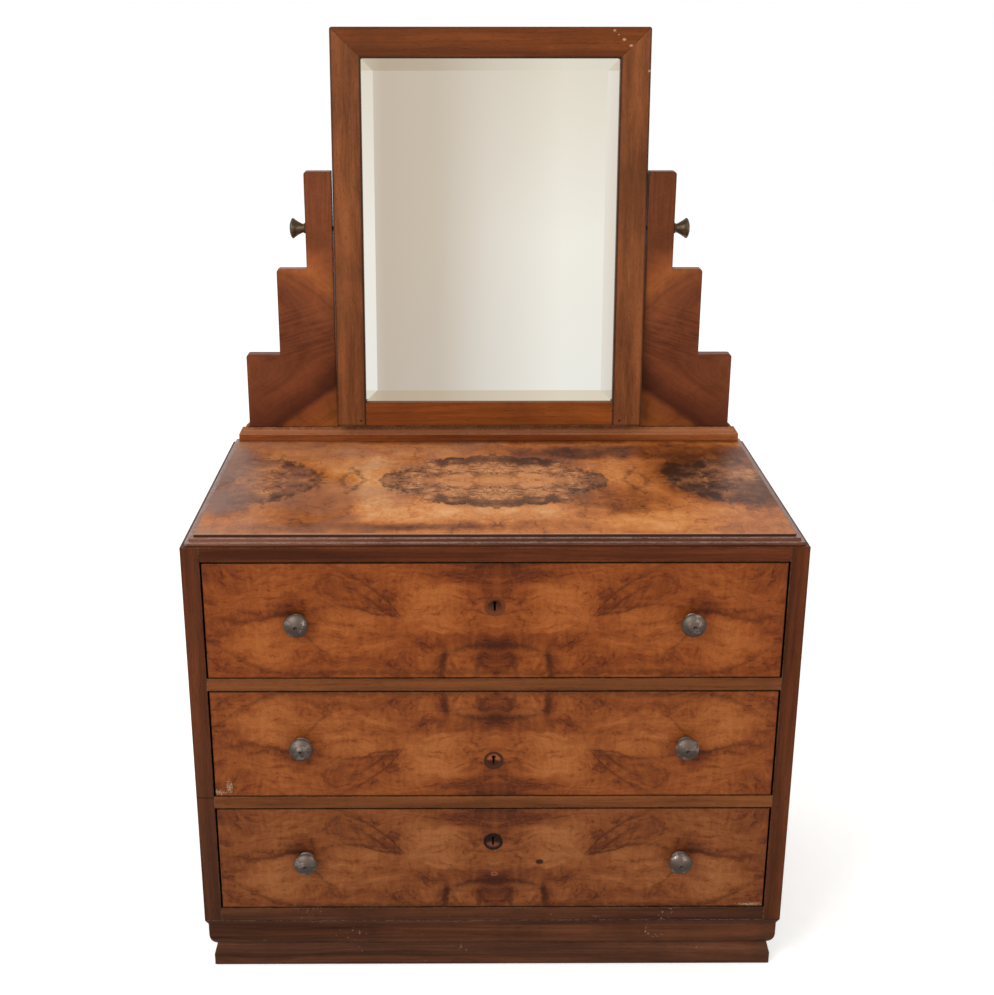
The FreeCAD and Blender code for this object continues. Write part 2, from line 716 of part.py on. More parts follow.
mirror_stile = cut(
    prism("y", ((sight_half, frame_foot), (frame_half, frame_foot), (frame_half, frame_top),
                (sight_half, sight_top)), frame_face, size.mirror_thickness),
    rebate, frame_tenons, plate_recess, shank_bore, corner_waste)
lean_back(group(mirror_stile), "mirror_stile_right")
lean_back(mirrored(mirror_stile), "mirror_stile_left")
lean_back(cut(
    prism("y", ((-sight_half, sight_top), (sight_half, sight_top), (frame_half, frame_top),
                (-frame_half, frame_top)), frame_face, size.mirror_thickness),
    rebate, corner_waste, mirrored(corner_waste)), "mirror_top_rail")
lean_back(cut(
    fuse(block((-sight_half, frame_face, frame_foot),
               (2 * sight_half, size.mirror_thickness, size.mirror_bottom_width)), frame_tenons),
    rebate), "mirror_bottom_rail")
lean_back(group(pivot_plate, mirrored(pivot_plate)), "mirror_pivot_plates")

glass_half = rebate_half - size.glass_gap
glass_foot = rebate_foot + size.glass_gap
glass_head = rebate_foot + rebate_height - size.glass_gap
bevel = doc.addObject("Part::Wedge", "bevel")
for path, length in (
        ("Xmin", -glass_half + size.bevel_width), ("Xmax", glass_half - size.bevel_width),
        ("Zmin", glass_foot + size.bevel_width), ("Zmax", glass_head - size.bevel_width),
        ("X2min", -glass_half), ("X2max", glass_half), ("Z2min", glass_foot), ("Z2max", glass_head),
        ("Ymin", glass_face), ("Ymax", glass_face + size.bevel_depth)):
    bind(bevel, path, length)
glass_rear = block((-glass_half, glass_face + size.bevel_depth, glass_foot),
                   (2 * glass_half, size.glass_thickness - size.bevel_depth, glass_head - glass_foot))
lean_back(fuse(bevel, glass_rear), "mirror_glass")
backboard_place = (-glass_half, glass_face + size.glass_thickness, glass_foot)
backboard = block(backboard_place, (2 * glass_half, size.backboard_thickness, glass_head - glass_foot))
lean_back(backboard, "mirror_backboard", backboard_place)


# ---- the thumb screws: a flared brass head on a shank that reaches into the mirror frame ----

shank_length = size.upper_step_width + size.mirror_side_gap + size.shank_reach - size.plate_thickness
thumb_widest = size.thumb_length - size.thumb_dome
thumb_outline = [
    (0, -shank_length), (size.shank_radius, -shank_length), (size.shank_radius, 0),
    (size.thumb_neck_radius, 0), (size.thumb_neck_radius, size.thumb_neck_length),
    (size.thumb_radius, thumb_widest), *dome(size.thumb_radius, thumb_widest, size.thumb_dome, (45,)),
]
for side, sign in (("right", 1), ("left", -1)):
    thumb_screw = turned(thumb_outline, (sign * thumb_seat, pivot_y, pivot_height),
                         Rotation(Vector(0, 1, 0), sign * 90))
    node(thumb_screw, f"thumb_screw_{side}")


# ---- the drawers ----

PINS = 3    # pins between the tails of one row


def dovetail_row(shoulder, tip, height, half_pins):
    """Corners of one dovetailed end of a drawer side, from its lower edge to its upper edge.

    The tails run from the shoulder to the tip and are widest at the tip. The gaps between
    them take the pins of the board that they are joined to.
    """
    run_out = size.dovetail_slope * (tip - shoulder if tip.number > shoulder.number else shoulder - tip)
    corners = []
    if half_pins:
        corners += [(shoulder, 0), (shoulder, size.half_pin_width + run_out), (tip, size.half_pin_width)]
    else:
        corners += [(tip, 0)]
    for pin in range(1, PINS + 1):
        middle = height * pin / (PINS + 1)
        narrow = size.pin_width / 2
        corners += [(tip, middle - narrow), (shoulder, middle - narrow - run_out),
                    (shoulder, middle + narrow + run_out), (tip, middle + narrow)]
    if half_pins:
        corners += [(tip, height - size.half_pin_width),
                    (shoulder, height - size.half_pin_width - run_out), (shoulder, height)]
    else:
        corners += [(tip, height)]
    return corners


def keyhole(middle_z, start, length):
    """The cutter for a keyhole: a round hole with a slot below it."""
    return fuse(
        rod("y", (0, start, middle_z), size.keyhole_radius, length),
        block((-size.keyhole_slot / 2, start, middle_z - size.keyhole_length),
              (size.keyhole_slot, length, size.keyhole_length)))


def knob(x, face, middle_z):
    """A turned knob on a stud, and the hole for the stud in the drawer front."""
    widest = size.knob_projection - size.knob_dome
    outline = (
        (0, -size.stud_length), (size.stud_radius, -size.stud_length), (size.stud_radius, 0),
        (size.knob_foot_radius, 0), (size.knob_neck_radius, size.knob_neck_height),
        (size.knob_radius, widest), *dome(size.knob_radius, widest, size.knob_dome, (35, 65)),
    )
    turning = turned(outline, (x, face, middle_z), Rotation(Vector(1, 0, 0), 90))
    return turning, rod("y", (x, face, middle_z), size.stud_radius, size.stud_length)


def drawer(name, keyhole_drop):
    """One drawer: five boards, two knobs, a keyhole inset, a lock and its bolt."""
    floor_level, opening_height = openings[name]
    face = front + size.front_recess
    inside = face + size.front_thickness
    rear = back - size.back_thickness - size.rear_gap
    side_foot = floor_level + size.running_gap
    upper_edge = floor_level + opening_height - size.top_gap
    side_height = upper_edge - side_foot
    side_inner = drawer_half - size.drawer_side_thickness
    groove_level = side_foot + size.groove_height

    front_row = dovetail_row(inside, inside - size.tail_length, side_height, True)
    rear_row = dovetail_row(rear - size.drawer_back_thickness, rear, side_height, False)
    outline = [(y, side_foot + z) for y, z in rear_row + front_row[::-1]]
    side_board = prism("x", outline, side_inner, size.drawer_side_thickness)
    groove = block((side_inner, face, groove_level),
                   (size.groove_depth, rear - face, size.bottom_thickness))
    side = cut(side_board, groove)
    node(side, f"{name}_side_right")
    node(mirrored(side), f"{name}_side_left")

    middle_z = floor_level + size.front_lift + (upper_edge - floor_level - size.front_lift) / 2
    knobs, stud_holes = zip(*(knob(side * size.knob_spacing / 2, face, middle_z) for side in (-1, 1)))
    node(group(*knobs), f"{name}_knobs")

    key_z = floor_level + opening_height - keyhole_drop
    key_cutter = keyhole(key_z, face, size.front_thickness + (size.lock_depth - size.bolt_thickness) / 2)
    inset_place = (0, face, key_z + (size.keyhole_radius - size.keyhole_length) / 2)
    inset = rod("y", inset_place, size.escutcheon_radius, size.escutcheon_thickness)
    node(cut(inset, key_cutter), f"{name}_escutcheon")

    front_board = block((-drawer_half, face, floor_level + size.front_lift),
                        (2 * drawer_half, size.front_thickness, upper_edge - floor_level - size.front_lift))
    front_groove = block((-side_inner, inside - size.groove_depth, groove_level),
                         (2 * side_inner, size.groove_depth, size.bottom_thickness))
    node(cut(front_board, side_board, mirrored(side_board), front_groove, inset, key_cutter,
             *stud_holes), f"{name}_front")

    back_foot = groove_level + size.bottom_thickness
    back_board = block((-drawer_half, rear - size.drawer_back_thickness, back_foot),
                       (2 * drawer_half, size.drawer_back_thickness, upper_edge - size.back_drop - back_foot))
    node(cut(back_board, side_board, mirrored(side_board)), f"{name}_back")
    bottom_half = side_inner + size.groove_depth
    bottom = block((-bottom_half, inside - size.groove_depth, groove_level),
                   (2 * bottom_half, rear - inside + size.groove_depth, size.bottom_thickness))
    node(bottom, f"{name}_bottom")

    bolt_foot = key_z + size.keyhole_radius
    bolt = block((-size.bolt_width / 2, bolt_place(), bolt_foot),
                 (size.bolt_width, size.bolt_thickness, upper_edge - size.bolt_drop - bolt_foot))
    gap = size.bolt_gap
    channel = block((-size.bolt_width / 2 - gap, bolt_place() - gap, bolt_foot - gap),
                    (size.bolt_width + 2 * gap, size.bolt_thickness + 2 * gap, upper_edge - bolt_foot + gap))
    lock_case = block((-size.lock_width / 2, inside, key_z - size.lock_height / 2),
                      (size.lock_width, size.lock_depth, size.lock_height))
    bolt_guide = block((-size.bolt_width, inside, key_z),
                       (2 * size.bolt_width, size.lock_depth, upper_edge - size.bolt_drop - key_z))
    node(cut(fuse(lock_case, bolt_guide), channel, key_cutter), f"{name}_lock")
    node(bolt, f"{name}_bolt")


drawer("top_drawer", size.top_keyhole_drop)
drawer("middle_drawer", size.middle_keyhole_drop)
drawer("bottom_drawer", size.bottom_keyhole_drop)


# ---- build, test and write ----

doc.recompute()
faults = [thing.Name for thing in doc.Objects if {"Invalid", "Error"} & set(thing.State)]
for piece in nodes:
    if piece.Shape.isNull() or not piece.Shape.isValid() or not piece.Shape.Solids:
        faults.append(piece.Label)
if faults:
    raise RuntimeError(f"these objects did not build: {faults}")

os.makedirs("parts", exist_ok=True)
for piece in nodes:
    piece.Shape.exportStep(f"parts/{piece.Label}.step")
    print(f"{piece.Label}: {len(piece.Shape.Solids)} solids, {piece.Shape.Volume / 1000:.1f} cm3")
print(f"{len(nodes)} nodes")
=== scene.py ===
# %% [markdown]
# # A dressing chest with a swing mirror
# The chest is a walnut-veneered case of three drawers with a mirror hung between two stepped
# boards. Its solids come packed, one per piece of joinery, and this lesson dresses them: first a
# camera and a pale studio, then a small way of writing materials, then one finish after another,
# and last the metal and the keyhole discs, which are turned again here with finer shapes.

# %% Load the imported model
import math

import bmesh
import bpy
from mathutils import Matrix, Vector


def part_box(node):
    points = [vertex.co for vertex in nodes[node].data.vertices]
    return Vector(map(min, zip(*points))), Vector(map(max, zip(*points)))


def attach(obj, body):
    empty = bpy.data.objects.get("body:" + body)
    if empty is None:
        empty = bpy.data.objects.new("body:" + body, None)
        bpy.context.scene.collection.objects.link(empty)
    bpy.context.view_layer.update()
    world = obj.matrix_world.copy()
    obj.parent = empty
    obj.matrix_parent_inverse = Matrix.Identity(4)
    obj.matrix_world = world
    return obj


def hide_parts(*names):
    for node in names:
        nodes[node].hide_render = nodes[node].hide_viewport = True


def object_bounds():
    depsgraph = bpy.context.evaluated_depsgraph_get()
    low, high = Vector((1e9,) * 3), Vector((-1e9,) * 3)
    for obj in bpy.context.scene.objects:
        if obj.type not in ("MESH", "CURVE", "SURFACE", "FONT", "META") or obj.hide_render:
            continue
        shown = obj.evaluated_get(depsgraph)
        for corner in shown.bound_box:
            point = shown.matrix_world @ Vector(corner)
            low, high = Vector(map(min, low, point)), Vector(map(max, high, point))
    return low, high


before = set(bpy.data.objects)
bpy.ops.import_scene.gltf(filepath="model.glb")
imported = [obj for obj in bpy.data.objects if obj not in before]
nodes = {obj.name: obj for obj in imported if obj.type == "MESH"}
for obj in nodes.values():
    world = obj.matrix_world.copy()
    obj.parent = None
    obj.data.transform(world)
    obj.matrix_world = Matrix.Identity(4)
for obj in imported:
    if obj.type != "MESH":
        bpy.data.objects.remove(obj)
cad_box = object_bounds()
DRAWERS = ("top_drawer", "middle_drawer", "bottom_drawer")
print("box of the solids:", [[round(c, 4) for c in corner] for corner in cad_box])

# %% [markdown]
# ## Where one stands
# A chest is usually looked at by someone standing in front of it, so the camera is at eye height
# for a short person and looks down a little. A camera in Blender looks along its own -Z with +Y
# up, so its turn is a matrix of three columns: right, up and backwards. Building that matrix from
# how far it looks down, aside and how it rolls is plainer than three Euler angles.

# %% Place the camera
MM = 0.001
eye = Vector((-51.45, -2211.9, 1472.66)) * MM
look_down, look_aside, roll = (math.radians(angle) for angle in (18.99, 0.28, 0.02))
focal_pixels, picture_height, sensor = 1442.25, 995, 36.0
left_of_middle = 30.6  # how far the lens was aimed beside the picture's middle, in pixels

ahead = Vector((math.sin(look_aside) * math.cos(look_down),
                math.cos(look_aside) * math.cos(look_down), -math.sin(look_down)))
level = Vector((math.cos(look_aside), -math.sin(look_aside), 0))
upward = level.cross(ahead)
right = math.cos(roll) * level + math.sin(roll) * upward
top = math.cos(roll) * upward - math.sin(roll) * level

camera = bpy.data.objects.new("camera", bpy.data.cameras.new("camera"))
camera.data.sensor_width = sensor
camera.data.lens = focal_pixels * sensor / picture_height
camera.data.shift_x = left_of_middle / picture_height
camera.data.clip_start = 0.05
turn = Matrix((right, top, -ahead)).transposed().to_4x4()
camera.matrix_world = Matrix.Translation(eye) @ turn
bpy.context.scene.collection.objects.link(camera)
bpy.context.scene.camera = camera
bpy.context.scene.view_settings.view_transform = "Standard"
print("lens:", round(camera.data.lens, 2), "mm")

# %% [markdown]
# ## Sums that become nodes
# A material is a graph of nodes, and most of a good one is arithmetic: mirror this, stretch that,
# keep what is near a line. Written node by node it is hard to read. So one small class wraps a
# socket, and Python's own signs add the Math nodes, also when the number comes first, as in
# 1 - mask. A second class owns the graph and makes every other node through one method.

# %% A socket one can do sums with
class Wire:
    """A value on its way through a graph; sums written with it become Math nodes."""

    def __init__(self, graph, socket):
        self.graph, self.socket = graph, socket

    def __add__(self, other):
        return self.graph.maths("ADD", self, other)

    def __mul__(self, other):
        return self.graph.maths("MULTIPLY", self, other)

    def __sub__(self, other):
        return self.graph.maths("SUBTRACT", self, other)

    def __rsub__(self, other):
        return self.graph.maths("SUBTRACT", other, self)

    def __truediv__(self, other):
        return self.graph.maths("DIVIDE", self, other)

    def __pow__(self, other):
        return self.graph.maths("POWER", self, other)

    def __abs__(self):
        return self.graph.maths("ABSOLUTE", self)

    __radd__, __rmul__ = __add__, __mul__

    def larger(self, other):
        return self.graph.maths("MAXIMUM", self, other)

    def step(self, low, high):
        """Climbs smoothly from 0 to 1 as the value goes from low to high."""
        return self.graph.node(
            "ShaderNodeMapRange", {"Value": self, "From Min": low, "From Max": high},
            interpolation_type="SMOOTHSTEP")

    def ramp(self, *stops, blend="LINEAR"):
        """Colours along this value; a stop is (place, colour)."""
        return self.graph.node("ShaderNodeValToRGB", {0: self}, stops=stops, blend=blend)

    def palette(self, *stops, blend="LINEAR"):
        """The same from a paint card; a stop is (place, red, green, blue)."""
        stops = [(place, paint(*colour)) for place, *colour in stops]
        return self.ramp(*stops, blend=blend)

    def stained(self, share, *colour):
        """This colour under one from a paint card; share 0 leaves it as it is."""
        return self.graph.mix(share, self, paint(*colour))

    def times(self, tint):
        """This colour seen through another one."""
        return self.graph.mix(1.0, self, tint, "MULTIPLY")


print("signs that add nodes: + - * / ** and abs()")

# %% A graph of nodes
class Graph:
    """The nodes of one material or of the studio's surroundings."""

    def __init__(self, tree):
        self.tree = tree
        self.tree.nodes.clear()

    def node(self, kind, inputs, output=0, **settings):
        """Adds one node: first its settings, then numbers or wires on its sockets."""
        made = self.tree.nodes.new(kind)
        for name, value in settings.items():
            if name == "stops":
                ramp = made.color_ramp.elements
                while len(ramp) < len(value):
                    ramp.new(1.0)
                for stop, (place, colour) in zip(ramp, value):
                    stop.position, stop.color = place, (*colour, 1.0)
            elif name == "blend":
                made.color_ramp.interpolation = value
            else:
                setattr(made, name, value)
        for name, value in inputs.items():
            if isinstance(value, Wire):
                self.tree.links.new(value.socket, made.inputs[name])
            else:
                made.inputs[name].default_value = value
        return Wire(self, made.outputs[output]) if len(made.outputs) else None

    def maths(self, operation, *terms):
        return self.node("ShaderNodeMath", dict(enumerate(terms)), operation=operation)

    def vectors(self, operation, inputs, output=0):
        return self.node("ShaderNodeVectorMath", inputs, output, operation=operation)

    def split(self, vector):
        first = self.node("ShaderNodeSeparateXYZ", {0: vector})
        return [Wire(self, socket) for socket in first.socket.node.outputs]

    def spot(self, x, y, z):
        return self.node("ShaderNodeCombineXYZ", {0: x, 1: y, 2: z})

    def mix(self, share, first, second, kind="MIX"):
        """One colour over another; share 0 leaves the first."""
        first, second = ((*colour, 1.0) if isinstance(colour, tuple) else colour
                         for colour in (first, second))
        return self.node("ShaderNodeMix", {0: share, 6: first, 7: second}, 2,
                         data_type="RGBA", blend_type=kind)

    def arris(self, radius):
        """How much a sharp edge is rounded here, from 0 on a flat, and the rounded normal."""
        rounded = self.node("ShaderNodeBevel", {"Radius": radius}, samples=6)
        sharp = self.node("ShaderNodeNewGeometry", {}, "Normal")
        return 1 - self.vectors("DOT_PRODUCT", {0: rounded, 1: sharp}, "Value"), rounded

    def openness(self, reach):
        """1 on open ground, less in a hollow that is narrower than reach."""
        return self.node("ShaderNodeAmbientOcclusion", {"Distance": reach}, "AO", samples=5)

    def bump(self, height, strength, distance, **over):
        return self.node("ShaderNodeBump", {
            "Height": height, "Strength": strength, "Distance": distance, **over})

    def surface(self, inputs):
        """Closes a material with one Principled shader."""
        shader = self.node("ShaderNodeBsdfPrincipled", inputs)
        self.node("ShaderNodeOutputMaterial", {"Surface": shader})


print("every node comes from", Graph.node.__qualname__)

# %% Paint and new finishes
def paint(red, green, blue):
    """A colour as a paint card gives it, 0 to 255, turned into light."""
    return tuple(((c / 255 + 0.055) / 1.055) ** 2.4 for c in (red, green, blue))


def finish(name):
    """A new material, its graph, and where a point is on the piece at rest, also split."""
    material = bpy.data.materials.new(name)
    material.use_nodes = True
    graph = Graph(material.node_tree)
    at = graph.node("ShaderNodeTexCoord", {}, "Object")
    return (material, graph, at, *graph.split(at))


print("card (133, 68, 28) is", [round(c, 3) for c in paint(133, 68, 28)], "as light")

# %% Cloudy values
def noise(at, scale, detail=2.0, roughness=0.5, swirl=0.0):
    """Cloudy values about one half, with that many clouds to the metre."""
    return at.graph.node("ShaderNodeTexNoise", {
        "Vector": at, "Scale": scale, "Detail": detail, "Roughness": roughness,
        "Distortion": swirl})


def cloud(x, y, z, *fineness):
    """The same at a spot of one's own making, such as one stretched along the grain."""
    return noise(x.graph.spot(x, y, z), 1.0, *fineness)


def drift(x, y, z, *fineness):
    """The same about nought."""
    return cloud(x, y, z, *fineness) - 0.5


def veins(x, y, z, thickness, swirl=0.6):
    """Thin wandering lines, 1 on a line: the contours of a cloudy value."""
    return abs(drift(x, y, z, 3.0, 0.55, swirl)).step(thickness, 0.0)


def cells(x, y, feature="F1"):
    """How far a spot is from the nearest of many scattered points."""
    return x.graph.node("ShaderNodeTexVoronoi", {
        "Vector": x.graph.spot(x, y, 0.0), "Scale": 1.0}, "Distance", feature=feature)


print("noise and cloud run about one half, drift about nought")

# %% [markdown]
# ## The studio
# The floor is a large pale sheet, and the surroundings are a soft room that is white to the eye.
# What polish and silvered glass send back is another matter: a mirror shows the room behind the
# viewer, so the surroundings hold a cream wall that is warmer on the left, paler on the right and
# dim towards the floor. That costs no geometry, and it lights the piece softly from everywhere.
# The floor itself is left out of reflections, or the polish would be milky with it.

# %% Surroundings
world = bpy.data.worlds.new("studio")
world.use_nodes = True
bpy.context.scene.world = world
room = Graph(world.node_tree)
across, back_way, height = room.split(room.node("ShaderNodeTexCoord", {}, "Generated"))
towards_viewer = (0 - back_way).larger(0.08)
aside = across / towards_viewer
rise = height / towards_viewer
CLEAR = (1.0, 1.0, 1.0)
wall = (aside + 0.5).palette(
    (0.12, 240, 234, 223), (0.418, 240, 233, 222), (0.448, 203, 188, 171), (0.485, 208, 195, 178),
    (0.52, 229, 221, 209), (0.57, 247, 243, 232), (0.62, 244, 240, 230), (0.8, 232, 225, 212))
low_tint = (rise * 0.5 + 0.5).ramp(
    (0.1, (0.26, 0.25, 0.24)), (0.33, (0.24, 0.21, 0.19)), (0.385, (0.80, 0.73, 0.66)),
    (0.455, (0.95, 0.97, 1.0)), (0.51, CLEAR))
high_tint = (rise * 0.5 + 0.5).ramp(
    (0.51, CLEAR), (0.57, (0.87, 0.83, 0.77)), (0.67, (0.84, 0.80, 0.72)), (0.9, (0.95,) * 3))
high_tint = room.mix(aside.step(-0.04, 0.06), CLEAR, high_tint)
in_polish = wall.times(low_tint).times(high_tint)
in_polish = room.mix(back_way.step(-0.3, 0.2), in_polish, (0.93, 0.93, 0.93))
in_a_shine = room.node("ShaderNodeLightPath", {}, "Is Glossy Ray")
to_eye = Wire(room, in_a_shine.socket.node.outputs["Is Camera Ray"])
soft_light = (0.78, 0.77, 0.75)
seen = room.mix(to_eye, room.mix(in_a_shine, soft_light, in_polish), CLEAR)
shown = room.node("ShaderNodeBackground", {"Color": seen, "Strength": 1.0})
room.node("ShaderNodeOutputWorld", {"Surface": shown})
print("the surroundings take", len(world.node_tree.nodes), "nodes")

# %% Lamps
def soft_lamp(name, place, aim, size, watts, colour):
    """A square soft box at a place, turned to shine at aim."""
    lamp = bpy.data.objects.new(name, bpy.data.lights.new(name, "AREA"))
    lamp.data.size, lamp.data.energy, lamp.data.color = size, watts, colour
    lamp.location = place
    lamp.rotation_euler = (Vector(aim) - Vector(place)).to_track_quat("-Z", "Y").to_euler()
    bpy.context.scene.collection.objects.link(lamp)
    print(name, "shines", watts, "W from", place)


soft_lamp("window", (-1.9, -2.6, 2.9), (0, 0, 0.7), 1.6, 62, (1.0, 0.98, 0.95))
soft_lamp("fill", (2.6, -2.4, 1.6), (0, 0, 0.6), 2.0, 14, (1.0, 0.96, 0.92))

# %% Floor
REACH, DROP = 9.0, 0.0004  # half the sheet's side, and how far it lies under the plinth
sheet = bmesh.new()
sheet.faces.new([sheet.verts.new((x * REACH, y * REACH, -DROP))
                 for x, y in ((-1, -1), (1, -1), (1, 1), (-1, 1))])
floor_mesh = bpy.data.meshes.new("floor")
sheet.to_mesh(floor_mesh)
floor = bpy.data.objects.new("floor", floor_mesh)
bpy.context.scene.collection.objects.link(floor)
floor.visible_glossy = False
pale, graph, at, *_ = finish("pale_floor")
tone = noise(at, 40.0, 3.0).ramp((0.3, (0.9, 0.9, 0.895)), (0.7, (0.93, 0.93, 0.925)),
                                 blend="EASE")
to_eye = graph.node("ShaderNodeLightPath", {}, "Is Camera Ray")
graph.surface({
    "Base Color": tone, "Roughness": 0.9, "Specular IOR Level": 0.1,
    "Emission Color": graph.mix(to_eye, (0.0, 0.0, 0.0), CLEAR), "Emission Strength": 0.4})
floor_mesh.materials.append(pale)
print("floor:", 2 * REACH, "m square")

# %% [markdown]
# ## What every piece of wood shares
# All of the show wood is stained walnut under a thin, old shellac polish. Three things tell the
# eye that it is wood: long streaks with the grain, short open pores, and edges that hands and
# dusters have rubbed pale. The first two are noise that is squeezed across the grain and stretched
# along it. The third needs to know where an edge is, which the Bevel node tells: its rounded
# normal leaves the true one only near an arris.

# %% The polish over any wood
def polish(colour, at, grain_height, sheen=0.42, wear=0.5, rubbed=(176, 132, 98),
           specular=0.12, grime=0.7, dust=None):
    """Closes a wood's graph: painted shade with soiling in hollows and on arrises, painted sheen
    with dust on faces that look up, rubbed arrises, smears in the shine, open grain.
    """
    graph = colour.graph
    edge, rounded = graph.arris(0.003)
    openness = graph.openness(0.008)
    patchy = (noise(at, 38.0, 4.0, 0.65) * 0.5 + noise(at, 240.0, 3.0) * 0.5).step(0.42, 0.6)
    bare = edge.step(0.14, 0.25) * patchy * openness.step(0.6, 0.85) * wear
    # Hollows and arrises are darkened here: painted shade, with some soiling.
    hollow = 1 - openness.step(0.5, 0.93)
    dirt_and_shade = (edge.step(0.003, 0.06) * 0.6).larger(hollow) * grime
    # Faces that look up are paled: dust, and a painted sheen such as polish shows on treads.
    if dust:
        facing_up = graph.split(graph.node("ShaderNodeNewGeometry", {}, "True Normal"))[2]
        share = facing_up.step(0.5, 0.8) * (0.25 + patchy * 0.35)
        colour = colour.stained(share, *dust)
    colour = graph.mix(dirt_and_shade, colour, colour.times((0.3, 0.27, 0.26)))
    colour = colour.stained(bare, *rubbed)
    smears = noise(at, 9.0, 5.0, 0.6) - 0.5
    scuffs = noise(at, 210.0, 3.0, 0.6)
    graph.surface({
        "Base Color": colour, "Roughness": sheen + smears * 0.22 + bare * 0.2,
        "Normal": graph.bump(grain_height + scuffs * 0.25, 0.35, 0.0006, Normal=rounded),
        "Specular IOR Level": specular})


def lie(run, x, y, z):
    """Along, over and through a board that lies along x, y or z."""
    return {"x": (x, z, y), "y": (y, x, z), "z": (z, x, y)}[run]


print("a stile lies along, over and through", lie("z", "x", "y", "z"))

# %% Grain and marks
def grain(along, over, through, seed):
    """Straight grain for a board that runs along: broad streaks, fine lines and pores."""
    wander = (noise(along.graph.spot(along * 1.6, over * 3, through * 3 + seed), 2.0) - 0.5) * 0.02
    over, through = over + wander, through + wander
    streaks = cloud(along * 1.3 + seed, over * 34, through * 34, 3.0, 0.6)
    lines = cloud(along * 5, over * 300, through * 300 + seed, 3.0, 0.7)
    pores = cloud(along * 60, over * 1500, through * 1500, 1.0)
    return streaks, lines, pores.step(0.6, 0.72)


def marked(body, across, up, marks, share=1.0):
    """Small round marks on a body colour: (across, up, radius, strength, colour)."""
    torn = drift(across * 70, up * 70, 8.0, 4.0, 0.7)
    for place_across, place_up, radius, strength, colour in marks:
        off, above = across - place_across, up - place_up
        near = (off * off + above * above * 2.2) ** 0.5
        mark = (near + torn * 0.005).step(radius, radius * 0.5)
        body = body.stained(mark * strength * share, *colour)
    return body


print("grain gives streaks, lines and pores")

# %% Solid walnut
REAR_BOARD, CORNER = 0.04, 0.06  # where the plinth's rear board lies, from behind and aside
print("the plinth's rear board is within", REAR_BOARD, "m of the back")


def walnut(name, run, dark, middle, light, seed, fade=None, mitred=None, cracks=(), rims=(),
           marks=(), middle_of=None, flecks=0.0, **polishing):
    """Straight-grained walnut; run names the way the board lies, x, y or z.

    A rim is a line along an edge, (axis, place, reach, colour, share); here rims paint shade along
    edges, a sheen along one end, and a paler band. Marks lie in front of the middle plane of a
    board, middle_of = (y, z, lean)."""
    material, graph, at, x, y, z = finish(name)
    if mitred:
        front, half = mitred
        rear_run = (graph.maths("GREATER_THAN", y, cad_box[1][1] - REAR_BOARD)
                    * graph.maths("LESS_THAN", abs(x), half - CORNER))
        side_run = graph.maths("GREATER_THAN", y - front, half - abs(x)) * (1 - rear_run)
        along, over, through = x + side_run * (y - x), z, y + side_run * (x - y)
    else:
        along, over, through = lie(run, x, y, z)
    streaks, lines, pores = grain(along, over, through, seed)
    body = (streaks * 0.72 + lines * 0.28).palette(
        (0.34, *dark), (0.5, *middle), (0.66, *light), blend="B_SPLINE")
    body = body.stained(pores * 0.55, *(c * 0.45 for c in dark))
    body = body.stained(noise(at, 6.0, 5.0, 0.62).step(0.46, 0.72) * 0.45, *dark)
    if fade:
        (low, low_shade), (high, high_shade) = fade
        body = body.times(graph.mix(z.step(low, high), low_shade, high_shade))
    for height in cracks:
        wavy = z - height + drift(x * 90, y * 90, 2.0, 3.0) * 0.004
        body = body.stained(abs(wavy).step(0.0011, 0.0005) * 0.85, 26, 14, 10)
    ways = {"x": x, "aside": abs(x), "z": z}
    for axis, place, reach, colour, share in rims:
        near = abs(ways[axis] - place).step(reach, reach * 0.3)
        body = body.stained(near * share, *colour)
    if flecks:
        fleck = noise(at, 210.0, 3.0, 0.55) + noise(at, 17.0, 4.0) * 0.7
        body = body.stained(fleck.step(1.08, 1.16) * flecks, 166, 134, 112)
    if middle_of:
        middle_y, middle_z, lean = middle_of
        in_front = (y - middle_y - (z - middle_z) * math.tan(lean)).step(0.001, -0.001)
        body = marked(body, x, z, marks, in_front)
    polish(body, at, (1 - pores) * 0.6 + lines * 0.3, **polishing)
    return material


# %% [markdown]
# ## Straight walnut for the case
# The rails, stiles and mouldings are plain solid walnut, stained darker than the veneer so that
# they draw a frame round it. The mouldings are mitred at the corners, so their grain turns there:
# a point belongs to the side run when it is farther behind the front than it is in from the side.

# %% Measures and tones of the case
front_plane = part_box("front_stile_left")[0].y
half_width = cad_box[1][0]
print("front plane at", round(front_plane, 4), "half width", round(half_width, 4))
rail_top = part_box("mirror_base_rail")[1].z
moulded = {"mitred": (front_plane, half_width), "wear": 1.0}
left_fade = ((0.1, (0.56, 0.7, 0.95)), (0.62, CLEAR))
right_fade = ((0.1, (0.95, 1.0, 1.05)), (0.62, (0.96, 0.9, 0.75)))
stile_tones = ((62, 30, 14), (92, 46, 24), (110, 58, 31))


def middle_of_piece(name):
    low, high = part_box(name)
    return (low + high) / 2


def dress(material, *names):
    """Puts a material on every slot of the CAD pieces named."""
    for name in names:
        for slot in nodes[name].material_slots:
            slot.material = material
    print(material.name, "on", ", ".join(names))


